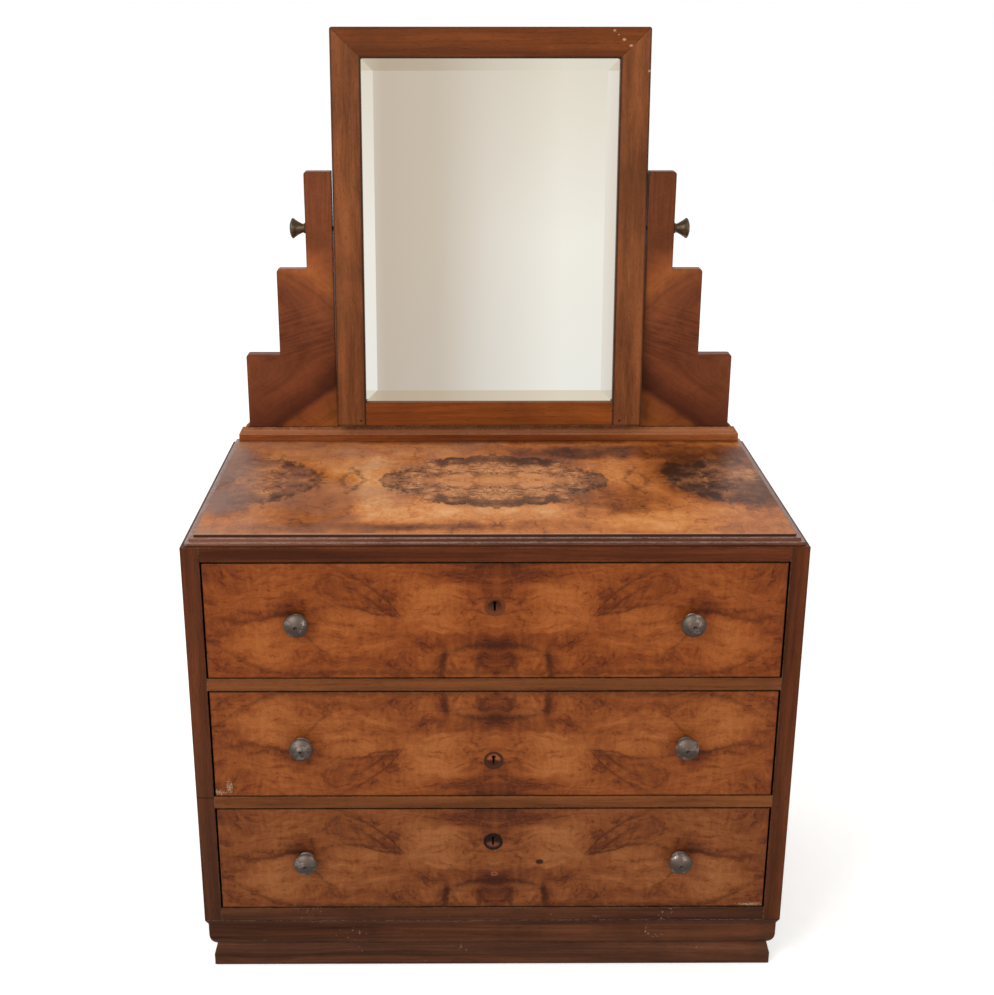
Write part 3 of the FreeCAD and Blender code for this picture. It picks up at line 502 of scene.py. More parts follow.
# %% Dress the case
dress(walnut("walnut_rail", "x", (60, 26, 10), (87, 40, 18), (118, 60, 28), 1.0), "top_rail")
dress(walnut("walnut_divider", "x", (76, 39, 17), (108, 60, 29), (134, 78, 40), 2.0, wear=0.8),
      "divider_upper", "divider_lower")
dress(walnut("walnut_low_rail", "x", (40, 22, 14), (68, 38, 24), (100, 57, 35), 3.0, wear=0.8,
             flecks=0.7), "bottom_rail")
dress(walnut("walnut_stile_left", "z", *stile_tones, 4.0, fade=left_fade, wear=0.6,
             cracks=(0.313,)), "front_stile_left")
dress(walnut("walnut_stile_right", "z", *stile_tones, 14.0, fade=right_fade, wear=0.6),
      "front_stile_right")
# The moulding's pale band at its left end is a painted sheen with wear, and its up-facing treads
# are paled with dust and painted sheen.
dress(walnut("walnut_moulding", "x", (80, 44, 30), (132, 80, 60), (170, 116, 94), 5.0,
             sheen=0.36, rubbed=(202, 168, 148), specular=0.3, flecks=0.5, dust=(186, 150, 136),
             rims=[("x", -half_width, 0.011, (190, 178, 170), 0.8)], **moulded), "top_moulding")
dress(walnut("walnut_base", "x", (34, 18, 10), (76, 41, 25), (108, 63, 39), 6.0,
             rubbed=(160, 126, 104), dust=(120, 84, 66), flecks=0.7, **moulded), "base_moulding")
dress(walnut("walnut_plinth", "x", (40, 24, 16), (82, 47, 31), (116, 70, 47), 7.0,
             rubbed=(164, 134, 112), dust=(120, 86, 70), flecks=0.7, **moulded), "plinth_boards")
dress(walnut("walnut_side", "z", (64, 34, 18), (98, 53, 28), (120, 70, 40), 8.0),
      "side_panel_left", "side_panel_right")
# The dark line along its top, where the mirror overhangs it, is a painted shadow; the band a
# little lower is paler.
dress(walnut("walnut_mirror_base", "x", (98, 48, 23), (140, 76, 39), (172, 103, 60), 9.0,
             wear=1.0, rubbed=(186, 160, 138), dust=(170, 118, 84), grime=0.15, specular=0.0,
             rims=[("z", rail_top - 0.007, 0.0045, (190, 126, 88), 0.6),
                   ("z", rail_top + 0.0004, 0.0012, (44, 22, 12), 0.9)]), "mirror_base_rail")

# %% [markdown]
# ## Book-matched fronts
# Each drawer front is faced with two leaves cut one after the other from a walnut stump and opened
# like a book, so the left half mirrors the right. In nodes that is one abs() of the distance from
# the middle. The leaves of the middle drawer were also turned head over heels. The stump's figure
# has two parts. Its growth lines are noise read through a swirling displacement. Its dark mineral
# streaks are drawn one by one: a ramp read along the leaf holds how high the streak runs, how dark
# and how wide it is, and a point is stained by how near it lies to that height.

# %% Streaks and chips
SPAN = 0.44  # reach of a streak's ramp, in metres
RISE = 0.1   # its heights run from -RISE to RISE
WIDE = 40    # the greatest width that a ramp can hold, in mm


def streak(out, up, side, *marks):
    """A stain along marks (out, up, strength, width), in mm; side picks its sharper edge."""
    stops = [(u * MM / SPAN, (h * MM / RISE * 0.5 + 0.5, strength, width / WIDE))
             for u, h, strength, width in marks]
    line, dark, width = out.graph.split((out * (1 / SPAN)).ramp(*stops))
    away = (up - (line - 0.5) * (2 * RISE)) * side
    share = away / (width * (WIDE * MM) + 0.0004)
    soft = 1 - share.step(0.0, 1.0)
    return share.step(-0.25, 0.12) * soft ** 1.5 * dark


def chip(x, z, at, place, size):
    """A pale place where polish and stain have come off."""
    off, above = x - place[0], z - place[1]
    near = off * off / (size[0] ** 2) + above * above / (size[1] ** 2)
    torn = noise(at, 620.0, 4.0, 0.75)
    return ((1 - near) * 0.16 + torn).step(0.62, 0.7) * near.step(1.6, 0.4) * 0.8


print("a streak's ramp reaches", SPAN, "m out")

# %% The streaks of a leaf
# (sharper edge, marks) of each mineral streak
STREAKS = (
    (1, (138, 6, 0, 8), (144, 9, .9, 7), (160, 31, .8, 9), (180, 48, .7, 9), (205, 66, .6, 12),
     (240, 84, .4, 18), (262, 95, 0, 20)),
    (-1, (150, 8, 0, 8), (162, 11, .9, 8), (176, 27, .7, 10), (200, 47, .55, 12),
     (230, 64, .4, 14), (262, 76, 0, 14)),
    (1, (140, 5, 0, 8), (150, 8, .9, 9), (185, 12, .85, 8), (205, 22, .6, 9), (235, 25, .5, 9),
     (262, 19, .3, 10), (285, 14, 0, 10)),
    (1, (272, 6, 0, 12), (295, 11, .9, 16), (325, 10, .9, 16), (348, 2, .6, 12),
     (375, -2, .5, 10), (405, 3, .35, 10), (436, 3, .2, 10)),
    (-1, (232, -56, 0, 10), (247, -53, .6, 9), (262, -44, .55, 9), (274, -30, .6, 12),
     (288, -14, .5, 12), (300, -6, 0, 10)),
    (1, (318, -88, .7, 18), (350, -80, .6, 16), (385, -62, .5, 14), (415, -38, .4, 14),
     (436, -30, .3, 12)),
    (-1, (0, -38, .9, 20), (40, -41, .9, 22), (66, -48, .7, 20), (92, -60, .3, 16),
     (120, -66, 0, 16)),
)
# (foot, half width, strength) of the two dark legs low in the middle
LEGS = ((0.078, 0.010, 1.0), (0.026, 0.008, 0.8))
print("a leaf has", len(STREAKS), "mineral streaks and", len(LEGS), "legs")

# %% Where a front is dark and where it is light
# (out, up, half width, half height, how dark), in mm; a negative one is light
CLOUDS = (
    (0, 84, 100, 24, 0.26), (30, 62, 34, 16, 0.08), (0, -37, 104, 11, 0.22),
    (0, -66, 20, 28, 0.24), (84, -58, 10, 28, 0.16), (0, 42, 24, 15, 0.14),
    (52, -66, 15, 18, -0.13), (98, 14, 44, 48, -0.17), (128, -42, 26, 18, 0.12),
    (204, 54, 44, 24, 0.12), (165, 30, 14, 20, 0.06), (208, 10, 36, 9, -0.14),
    (222, -20, 40, 22, -0.06), (215, -74, 80, 20, 0.1), (302, 24, 15, 17, 0.18),
    (275, -40, 22, 20, -0.07), (352, -34, 44, 34, -0.15), (352, -84, 60, 14, 0.08),
    (350, 6, 70, 7, 0.12), (385, 46, 56, 30, -0.05), (330, 78, 90, 16, 0.06),
    (426, 0, 16, 96, 0.1),
)


def clouds(out, up, marks):
    """How dark the marks make a point, all together."""
    patches = [
        (((out - place_out * MM) * (1000 / half_wide)) ** 2
         + ((up - place_up * MM) * (1000 / half_high)) ** 2).step(2.6, 0.0) * dark
        for place_out, place_up, half_wide, half_high, dark in marks]
    return sum(patches[1:], patches[0])


print(len(CLOUDS), "soft clouds shade a leaf")

# %% The figure of a leaf
def leaf_figure(out, up, y):
    """How light a leaf is, its fine lines and its pores."""
    turning = drift(out * 6, up * 9, 4.0, 2.0, 0.5)
    curl = drift(out * 22, up * 28, 9.0, 3.0, 0.6)
    depth = clouds(out + curl * 0.05, up + turning * 0.03 + curl * 0.02, CLOUDS)

    flow = up + turning * 0.12 + curl * 0.016
    bands = drift(out * 3.4, flow * 24, 1.0, 4.0, 0.62)
    lines = cloud(out * 14, flow * 190, 2.0, 3.0, 0.7)
    smoke = drift(out * 11, flow * 26, 3.0, 5.0, 0.6)
    swirls = drift(out * 22, flow * 52, 6.0, 4.0, 0.6, 1.6)
    ripple = drift(out * 170 + turning * 14, up * 22, 5.0, 3.0, 0.6)
    pores = cloud(out * 170, flow * 1000, y * 300, 1.0).step(0.6, 0.72)
    broad_veins = veins(out * 12, up * 17, 12.0, 0.022)
    fine_veins = veins(out * 36 + curl, up * 52, 14.0, 0.03, 1.4)
    hooks = veins(out * 16 + curl * 2, flow * 30, 17.0, 0.05, 1.0)
    tone = (0.545 + bands * 0.26 + (lines - 0.5) * 0.16 + smoke * 0.36 + swirls * 0.3
            + ripple * 0.2 - depth * 0.6
            - broad_veins * smoke.step(0.06, -0.06) * 0.08
            - fine_veins * curl.step(-0.02, 0.12) * 0.05
            - hooks * swirls.step(0.02, -0.12) * 0.09)
    return tone, lines, pores


# %% The stains of a leaf
def mineral(out, up):
    """How far the streaks and legs of a leaf stain a point, a little broken up."""
    stain = streak(out, up, *STREAKS[0])
    for marks in STREAKS[1:]:
        stain = stain.larger(streak(out, up, *marks))
    for foot, width, strength in LEGS:
        leg = abs(out - foot + (up + 0.07) * 0.1).step(width, 0.001)
        stain = stain.larger(leg * up.step(-0.04, -0.055) * strength)
    return stain * cloud(out * 70, up * 70, 8.0, 4.0, 0.7).step(0.24, 0.56)


# %% The veneer of one front
fronts_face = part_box("top_drawer_front")[0].y
LEAF = 0.0022  # how far behind the face the plain wood begins
print("the fronts' face is at", round(fronts_face, 4))


def front_veneer(name, middle, flipped, seed, tint, stained, chips=(), knots=()):
    """The leaves on a front, and the plain wood behind them."""
    material, graph, at, x, y, z = finish(name)
    high = (z - middle) * (-1 if flipped else 1)
    own = drift(x * 5, high * 8, seed, 2.0)
    ragged = drift(abs(x) * 60, high * 90, seed, 3.0, 0.65)
    out = abs(x - 0.003) + own * 0.012 + ragged * 0.006
    up = high + own * 0.014 + ragged * 0.012
    tone, lines, pores = leaf_figure(out, up, y)
    body = tone.palette(
        (0.18, 58, 26, 14), (0.30, 84, 38, 18), (0.42, 112, 54, 23), (0.52, 133, 68, 28),
        (0.62, 150, 82, 37), (0.76, 170, 100, 50)).times(tint)
    body = body.stained(mineral(out, up) * stained, 58, 26, 15).stained(pores * 0.35, 62, 28, 14)
    body = marked(body, x, z, knots)
    for place, size in chips:
        body = body.stained(chip(x, z, at, place, size), 186, 158, 128)
    core_lines = cloud(x * 3, y * 90, z * 90, 4.0, 0.6)
    core = core_lines.palette((0.35, 118, 72, 42), (0.65, 156, 106, 66), blend="EASE")
    body = graph.mix(y.step(fronts_face + LEAF - 0.0006, fronts_face + LEAF), body, core)
    polish(body, at, lines * 0.3 + (1 - pores) * 0.5, sheen=0.4, wear=0.55)
    return material


# %% Dress the three fronts
heights = {drawer: middle_of_piece(drawer + "_front").z for drawer in DRAWERS}
middle_high, low_high = heights["middle_drawer"], heights["bottom_drawer"]
hole = (38, 18, 12)
dents = [(0.073, low_high - 0.006, 0.0085, 0.9, hole),
         (0.002, low_high - 0.028, 0.0075, 0.7, (140, 84, 56)),
         (0.002, low_high - 0.028, 0.0026, 0.8, hole),
         (-0.066, low_high - 0.012, 0.002, 0.7, hole)]
torn_left = [((-0.425, middle_high - 0.082), (0.02, 0.007)),
             ((-0.405, middle_high - 0.073), (0.008, 0.016))]
torn_right = [((0.405, low_high - 0.085), (0.03, 0.005))]
for drawer, *look in (
        ("top_drawer", False, 1.5, (0.95, 0.90, 0.85), 0.8),
        ("middle_drawer", True, 3.5, (0.96, 1.0, 1.1), 0.8, torn_left),
        ("bottom_drawer", False, 6.5, (0.81, 0.93, 1.25), 0.95, torn_right, dents)):
    dress(front_veneer("veneer_" + drawer, heights[drawer], *look), drawer + "_front")
    print(drawer, "front is centred at", round(heights[drawer], 4))

# %% [markdown]
# ## The burr top
# The top shows off the best wood: four leaves of burr, matched from side to side and from back to
# front, so one corner is worked out and mirrored twice. A burr is a mass of buds. Where they are
# thick the wood is dark and knotty with pale eyes in it, and its border runs out in spikes. A
# large oval of it sits in the middle, a diamond at each end, and a small ring between them. Each
# is a distance from a centre, made ragged by noise that is stretched along the spikes.

# %% Where the top is dark and where it is light
match_x, match_y = 0.005, 0.004  # where the four leaves meet
# (x, y, half width, half depth, how dark), in mm; these are stains and wear, not matched
TOP_CLOUDS = (
    (250, 158, 220, 34, 0.2), (110, 140, 60, 34, 0.16), (180, -90, 64, 62, 0.16),
    (330, 40, 56, 92, 0.24), (303, 50, 16, 46, 0.22), (396, -60, 60, 60, 0.24),
    (400, 20, 60, 110, 0.12), (-262, -150, 64, 70, 0.12), (-220, -216, 110, 18, 0.14),
    (-90, -218, 80, 14, 0.14), (60, 222, 400, 14, 0.16), (-412, -96, 44, 54, 0.2),
    (-428, 96, 30, 70, 0.14), (-188, -20, 26, 130, -0.2), (-250, 110, 60, 60, -0.1),
    (-50, -140, 150, 46, -0.12), (240, -190, 70, 34, -0.12), (208, 20, 20, 90, -0.1),
    (420, 30, 30, 40, -0.2), (0, 20, 150, 60, -0.06), (384, -96, 40, 40, -0.1),
    (60, 92, 70, 18, 0.16), (0, -112, 60, 16, 0.14), (-330, 20, 46, 60, 0.12),
)
print(len(TOP_CLOUDS), "soft clouds shade the top")


# %% Plain wood and burr
def plain_wood(x, y, u, v, flow, depth, worn, smoke, veined):
    """The wood between the burrs, and its fine lines."""
    bands = drift(flow * 42, v * 5, 3.0, 4.0, 0.62)
    lines = cloud(flow * 230, v * 16, 4.0, 3.0, 0.7)
    cloudy = drift(u * 9, v * 11, 5.0, 4.0, 0.6)
    tone = (0.60 + bands * 0.3 + (lines - 0.5) * 0.16 + cloudy * 0.3 + worn * 0.36 + smoke * 0.4
            - depth - veined * cloudy.step(0.1, -0.1))
    # Pinkish grey that grows towards the left: a painted sheen.
    painted_left_sheen = (cloud(x * 6, y * 8, 3.0, 3.0, 0.6) - x * 0.35).step(0.48, 0.72) * 0.42
    return lines, tone.palette(
        (0.16, 60, 32, 19), (0.32, 106, 56, 27), (0.46, 150, 84, 40), (0.58, 182, 108, 54),
        (0.72, 208, 136, 76), (0.86, 224, 166, 114)).stained(painted_left_sheen, 150, 110, 92)


def knotty_wood(u, v, swirl, rims, depth, worn, veined, calm):
    """The burr: buds with pale eyes in a dark tangle."""
    buds = cells(u * 46, v * 46, "SMOOTH_F1")
    eyes = cells(u * 120 + swirl * 5, v * 120)
    tangle = drift(u * 60, v * 60, 8.0, 4.0, 0.66, 1.4)
    tone = (0.79 - buds * 0.42 + (0.5 - eyes) * 0.12 + tangle * 0.8
            - rims * 0.34 - depth * 0.6 + worn * 0.2 - veined * 1.4)
    return (tone + calm * 0.2).palette(
        (0.12, 56, 36, 28), (0.28, 92, 58, 40), (0.42, 132, 84, 54), (0.56, 170, 112, 72),
        (0.72, 208, 146, 96))


# %% Where the burr lies
def burr_borders(out, deep, u, v):
    """Ragged distances from the middle of the oval and of a diamond; 1 is the border."""
    spikes = drift(out * 38, deep * 5, 2.0, 3.0, 0.6)
    bulges = drift(out * 12, deep * 15, 21.0, 3.0, 0.6)
    oval = (u * (1 / 0.186)) ** 1.6 + (v * (1 / 0.126)) ** 1.6 + spikes * 0.95 + bulges * 1.1
    ends = ((abs(u - 0.372) * (1 / 0.092)) ** 1.5 + (v * (1 / 0.118)) ** 1.3) + spikes * 1.2
    return oval, ends


board_top, board_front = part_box("top_board")[1].z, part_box("top_board")[0].y
print("the top is at", round(board_top, 4), "and its front edge at", round(board_front, 4))


# %% The leaves of the top
def burr_top(name):
    material, graph, at, x, y, z = finish(name)
    own = drift(x * 4, y * 4, 7.0, 2.0)
    out = abs(x - match_x) + own * 0.022
    deep = abs(y - match_y) + own * 0.018
    swirl_x = drift(out * 17, deep * 14, 1.0, 5.0, 0.66)
    swirl_y = drift(out * 17, deep * 14, 6.0, 5.0, 0.66)
    u = out + swirl_x * 0.04
    v = deep + swirl_y * 0.05

    oval, ends = burr_borders(out, deep, u, v)
    leaf = abs(u - 0.232) * (1 / 0.02) + v * (1 / 0.062)
    in_oval = oval.step(1.07, 0.96)
    in_ends = ends.step(1.08, 0.94)
    patchy = cloud(out * 13, deep * 16, 4.0, 3.0, 0.6).step(0.36, 0.6)
    rim = oval.step(0.45, 0.92) * in_oval * (0.1 + patchy * 0.9)
    end_rim = ends.step(0.4, 0.9) * in_ends * (0.4 + patchy * 0.6)
    leaf_line = abs(leaf - 1.0).step(0.4, 0.08)

    worn = drift(x * 7, y * 9, 9.0, 5.0, 0.64)
    depth = clouds(x + swirl_x * 0.06, y + swirl_y * 0.05, TOP_CLOUDS)
    smoke = drift(u * 26, v * 30, 11.0, 5.0, 0.66, 1.2)
    veined = (veins(u * 15, v * 17, 12.0, 0.02) * 0.16
              + veins(u * 48, v * 54, 14.0, 0.035, 1.2) * 0.10)
    calm = v.step(0.026, 0.008) * u.step(0.14, 0.06)
    lines, plain = plain_wood(x, y, u, v, u + swirl_y * 0.034, depth, worn, smoke, veined)
    knotty = knotty_wood(u, v, swirl_x, rim.larger(end_rim), depth, worn, veined, calm)
    share = (in_oval * (1 - calm * 0.6)).larger(in_ends) * 0.88
    body = graph.mix(share, plain, knotty)
    edge_noise = cloud(out * 70, deep * 46, 3.0, 3.0, 0.7)
    line_of_oval = abs(oval - 0.99).step(0.12, 0.02) * (0.25 + patchy * 0.75)
    line_of_ends = abs(ends - 0.98).step(0.2, 0.04) * out.step(0.42, 0.34)
    darks = line_of_oval.larger(line_of_ends) * edge_noise.step(0.4, 0.6)
    darks = (darks * 0.75).larger(leaf_line * edge_noise.step(0.3, 0.6) * 0.6)
    body = body.stained(darks, 58, 36, 28)

    greyed = abs(x).step(0.35, 0.43) * (worn + depth).step(-0.06, 0.16)
    grey = graph.mix(x.step(-0.1, 0.1), paint(136, 106, 94), paint(104, 60, 40))
    purplish = in_ends * x.step(-0.2, -0.3) * smoke.step(-0.16, 0.1)
    pores = cloud(u * 900, v * 200, z, 1.0).step(0.62, 0.74)
    # A pale line along the top's front arris: painted highlight.
    painted_lip_highlight = (y.step(board_front + 0.0022, board_front + 0.0006)
           * z.step(board_top - 0.0018, board_top - 0.0006))
    body = (graph.mix(greyed * 0.6, body, grey).stained(purplish * 0.5, 142, 98, 82)
            .stained(pores * 0.25, 70, 38, 22)
            .stained(z.step(board_top - 0.0008, board_top - 0.0016), 84, 50, 37)
            .stained(painted_lip_highlight * 0.65, 196, 158, 132))
    polish(body, at, lines * 0.25 + (1 - pores) * 0.4, sheen=0.4, wear=1.0,
           rubbed=(200, 168, 146), specular=0.1)
    return material


dress(burr_top("burr_top"), "top_board")

# %% [markdown]
# ## The stepped boards
# The two boards that carry the mirror are veneered with another pair of leaves, mirrored about the
# middle of the chest. Low down a dark band sweeps outwards under a paler corner, halfway up there
# is a light patch crossed by fine curl, and the top is plain and dark. So the height is sheared by
# an amount that itself changes with the height, and a ramp is read along that.

# %% The boards beside the mirror
def board_veneer(name):
    material, graph, at, x, y, z = finish(name)
    own = drift(x * 6, z * 6, 2.0, 2.0)
    out = abs(x) - 0.27 + own * 0.012
    ragged = drift(out * 30, z * 40, 3.0, 3.0, 0.6)
    shear = 0.74 - z.step(0.84, 1.0) * 1.7 + z.step(1.0, 1.1) * 0.96
    flow = z + out * shear + ragged * 0.012 + own * 0.02
    sweep = cloud(out * 6, flow * 46, 1.0, 4.0, 0.6)
    lines = cloud(out * 14, flow * 260, 2.0, 3.0, 0.7)
    smoke = drift(out * 24, z * 24, 5.0, 5.0, 0.66, 1.0)
    curl = cloud(out * 14, z * 210 + out * 60, 4.0, 2.0)
    curl = (curl - 0.5) * z.step(0.86, 0.92) * z.step(1.0, 0.94)
    upright_lines = drift(out * 260, z * 12, 6.0, 3.0, 0.65)
    high_up = z.step(1.0, 1.08)
    zones = ((flow - 0.76) * 2.0).palette(
        (0.0, 138, 78, 36), (0.125, 130, 70, 34), (0.16, 76, 36, 21), (0.2, 88, 43, 24),
        (0.26, 112, 57, 31), (0.33, 106, 55, 31), (0.42, 126, 68, 37), (0.5, 154, 87, 43),
        (0.56, 136, 73, 39), (0.66, 110, 58, 32), (0.8, 116, 62, 35), (0.95, 108, 56, 31),
        blend="EASE")
    swept = 0.5 + (sweep * 0.6 + lines * 0.3 - 0.45) * (0.75 - high_up * 0.6)
    tone = (swept + curl * 0.7 + smoke * 0.5 + upright_lines * high_up * 0.5).ramp(
        (0.28, (0.62, 0.58, 0.54)), (0.5, CLEAR), (0.72, (1.38, 1.38, 1.36)))
    pores = cloud(out * 700, flow * 250, y, 1.0).step(0.62, 0.74)
    low_out = abs(x).step(0.35, 0.42) * z.step(0.84, 0.78)
    body = zones.times(tone).stained(pores * 0.3, 56, 28, 17).stained(low_out * 0.4, 76, 37, 24)
    body = graph.mix(x.step(0.0, 0.2) * high_up, body, body.times((0.78, 0.76, 0.7)))
    polish(body, at, lines * 0.3 + (1 - pores) * 0.4, wear=0.7, rubbed=(150, 106, 78))
    return material


dress(board_veneer("veneer_supports"), "mirror_support_left", "mirror_support_right")

# %% [markdown]
# ## The mirror's frame
# Four plain lengths of walnut, lighter than the case, hold the glass. The uprights have their
# grain up and down and the rails from side to side, so they are two materials from one recipe.

# %% Frame materials
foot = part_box("mirror_stile_left")[0].z
frame_edge, sight_edge = (-corner.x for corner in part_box("mirror_stile_left"))
sight_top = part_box("mirror_top_rail")[0].z
umber, scratch = (38, 20, 14), (206, 164, 132)
# Dark lines along the glass's edge and the frame's outer edge: painted shade of the rebate and of
# the rounded arris.
painted_edge_shade = [("aside", sight_edge, 0.0045, umber, 0.8), ("aside", frame_edge, 0.004, umber, 0.6)]
nails = [(-0.223, foot + 0.010, 0.0026, 0.9, umber), (0.227, foot + 0.010, 0.0026, 0.9, umber)]
scratches = [(0.203, 1.4275, 0.0034, 0.6, scratch), (0.210, 1.421, 0.0022, 0.5, scratch),
             (0.219, 1.4135, 0.0040, 0.65, scratch), (0.2305, 1.404, 0.0040, 0.6, scratch),
             (0.262, 1.364, 0.0030, 0.5, scratch)]
mirror_lean = math.radians(5)
_, screw_y, screw_z = middle_of_piece("thumb_screw_left")
framed = {"wear": 0.3, "grime": 0.4, "middle_of": (screw_y, screw_z, mirror_lean)}
dress(walnut("walnut_frame_upright", "z", (82, 44, 21), (122, 69, 37), (146, 85, 47), 11.0,
             rims=painted_edge_shade, marks=nails + scratches, **framed),
      "mirror_stile_left", "mirror_stile_right")
# Along the rails' edge at the glass runs a dark line of painted shade.
dress(walnut("walnut_frame_rail", "x", (78, 38, 13), (113, 56, 22), (134, 72, 30), 12.0,
             fade=((0.85, (1.35, 1.3, 0.95)), (1.3, CLEAR)), marks=scratches,
             rims=[("z", sight_top, 0.006, umber, 0.7)], **framed),
      "mirror_top_rail", "mirror_bottom_rail")

# %% [markdown]
# ## Wood that is seldom seen
# Inside, a maker saves: drawer sides of a mild hardwood, pine for runners and blocks, and plywood
# for the drawer bottoms and the back. They are unpolished, so matt, and a little dusty. Plywood's
# face is peeled off the log like paper, which gives wide wavy figure instead of stripes.

# %% Bare wood
def bare_wood(name, run, dark, middle, light, seed, broad=False):
    """Unpolished wood; a broad figure is that of peeled plywood."""
    material, graph, at, x, y, z = finish(name)
    along, over, through = lie(run, x, y, z)
    streaks = grain(along, over, through, seed)[0]
    if broad:
        bend = cloud(along * 0.8, over * 4.5, through * 4.5 + seed, 2.0)
        figure = abs(graph.maths("FRACT", bend * 16 + streaks * 0.5) - 0.5)
        streaks = 0.48 + figure * 0.14 + (streaks - 0.5) * 0.5
    lines = cloud(along * 6, over * 350, through * 350, 2.0)
    tone = (streaks * 0.7 + lines * 0.3).palette((0.35, *dark), (0.5, *middle), (0.65, *light),
                                                 blend="EASE")
    dust = noise(at, 7.0, 4.0, 0.6).step(0.45, 0.7) * 0.3
    graph.surface({
        "Base Color": tone.stained(dust, *(c * 0.7 for c in middle)),
        "Roughness": 0.62 + lines * 0.2, "Specular IOR Level": 0.2,
        "Normal": graph.bump(lines * 0.6 + streaks * 0.3, 0.3, 0.0006)})
    return material


# %% Dress the inside
side_tones = ((120, 82, 50), (158, 114, 72), (180, 138, 92))
pine_tones = ((150, 112, 70), (190, 152, 104), (208, 174, 126))
ply_tones = ((128, 88, 54), (160, 118, 76), (182, 142, 98))


def of_each(*parts):
    """The names of these parts of every drawer."""
    return [drawer + part for drawer in DRAWERS for part in parts]


dress(bare_wood("drawer_side_wood", "y", *side_tones, 1.0), *of_each("_side_left", "_side_right"))
dress(bare_wood("drawer_back_wood", "x", *side_tones, 2.0), *of_each("_back"))
dress(bare_wood("pine", "x", *pine_tones, 3.0), "glue_blocks", "top_blocks", "drawer_stops")
dress(bare_wood("pine_front_to_back", "y", *pine_tones, 4.0),
      "drawer_runners", "drawer_guides", "drawer_kickers")
dress(bare_wood("plywood_face", "x", *ply_tones, 5.0, broad=True), *of_each("_bottom"))
dress(bare_wood("plywood_face_upright", "z", *ply_tones, 6.0, broad=True),
      "back_panel", "mirror_backboard")

# %% [markdown]
# ## Metal and glass
# The knobs are brass that has gone grey-brown all over, with a little shine left where fingers
# wear it. The thumb screws are a warmer dark brass. The locks behind the fronts are plain iron.
# Tarnish is a stain in the colour and a loss of shine together, so one mask drives both. The
# mirror is a metal with no colour of its own and almost no roughness; near its edge old silvering
# has a few specks.

# %% Metal
def metal(name, clean, tarnish, dull=0.5, bright=0.3, spread=90.0, cover=0.5):
    """Old metal: clean where it is rubbed, tarnished elsewhere."""
    material, graph, at, *_ = finish(name)
    fine = noise(at, spread * 9, 3.0, 0.6)
    blotch = noise(at, spread, 5.0, 0.62) * 0.75 + fine * 0.25
    edge, rounded = graph.arris(0.0006)
    stained = (blotch.step(0.62 - cover * 0.3, 0.72 - cover * 0.3)
               * (1 - edge.step(0.03, 0.2) * 0.7))
    pits = noise(at, 900.0, 2.0).step(0.62, 0.75)
    # Hollows such as the knobs' dimples are darkened here: painted shade.
    hollow = (1 - graph.openness(0.005).step(0.4, 0.9)) * 0.85
    graph.surface({
        "Base Color": graph.mix(stained, paint(*clean), paint(*tarnish)).stained(
            pits * 0.5, *(c * 0.5 for c in tarnish)).stained(hollow, 52, 40, 32),
        "Metallic": 0.85, "Roughness": bright + stained * (dull - bright) + pits * 0.1,
        "Normal": graph.bump(fine - pits * 0.6, 0.25, 0.0003, Normal=rounded)})
    return material


knob_brass = metal("knob_brass", (164, 152, 148), (108, 96, 89), bright=0.32, spread=60.0,
                   cover=0.78)
screw_brass = metal("screw_brass", (130, 112, 88), (88, 74, 58), bright=0.36, cover=0.7)
dress(metal("plate_brass", (170, 138, 88), (112, 90, 58)), "mirror_pivot_plates")
dress(metal("lock_iron", (150, 148, 144), (96, 88, 80)), *of_each("_lock", "_bolt"))

# %% Glass
silvered, graph, at, x, _, z = finish("silvered_glass")
glass_low, glass_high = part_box("mirror_glass")
TURNED_BY = 0.9  # how far a bevel turns what one sees, as a share of its own slope
BEVEL, SOFT = 0.0245, 0.001  # the bevel's width, and how softly its tint ends
near_edge = abs(x).step(glass_high.x - 0.03, glass_high.x)
specks = noise(at, 700.0, 2.0).step(0.68, 0.74) * near_edge
silver = graph.mix(specks * 0.6, (0.93, 0.935, 0.93), (0.45, 0.42, 0.38))
yellowed = (z.step(glass_low.z + BEVEL + SOFT, glass_low.z + BEVEL - SOFT)
            + z.step(glass_high.z - BEVEL - SOFT, glass_high.z - BEVEL + SOFT))
facing = graph.node("ShaderNodeVectorTransform", {
    0: (0.0, -math.cos(mirror_lean), math.sin(mirror_lean))},
    vector_type="NORMAL", convert_from="OBJECT", convert_to="WORLD")
ground = graph.node("ShaderNodeNewGeometry", {}, "Normal")
bent = graph.vectors("SUBTRACT", {
    0: graph.vectors("SCALE", {0: facing, "Scale": 1 + TURNED_BY}),
    1: graph.vectors("SCALE", {0: ground, "Scale": TURNED_BY})})
graph.surface({
    "Base Color": graph.mix(yellowed, silver, silver.times((0.88, 0.84, 0.77))),
    "Metallic": 1.0, "Normal": graph.vectors("NORMALIZE", {0: bent}),
    "Roughness": 0.015 + noise(at, 6.0, 4.0, 0.6) * 0.02 + specks * 0.2})
dress(silvered, "mirror_glass")

# %% [markdown]
# ## Turned pieces
# Knobs and thumb screws come off a lathe: a profile spun about an axis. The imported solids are
# turned too, but with few steps. Here the profile is a smooth curve through a few points, spun
# finely, with the small things that the eye looks for: a bead at the neck, a soft rim, and the
# dimple that the lathe's centre left in the face. Each piece stays within the solid it stands for.

# %% A lathe
TURNS = 56
print("a turned piece has", TURNS, "faces round")


def smooth_profile(points, between=5):
    """A Catmull-Rom curve through (distance along the axis, radius) points."""
    ends = [points[0], *points, points[-1]]
    return [tuple(0.5 * (2 * b + (c - a) * t + (2 * a - 5 * b + 4 * c - d) * t * t
                         + (3 * b - a - 3 * c + d) * t ** 3)
                  for a, b, c, d in zip(before, start, stop, after))
            for before, start, stop, after in zip(ends, ends[1:], ends[2:], ends[3:])
            for t in (i / between for i in range(between))] + [points[-1]]


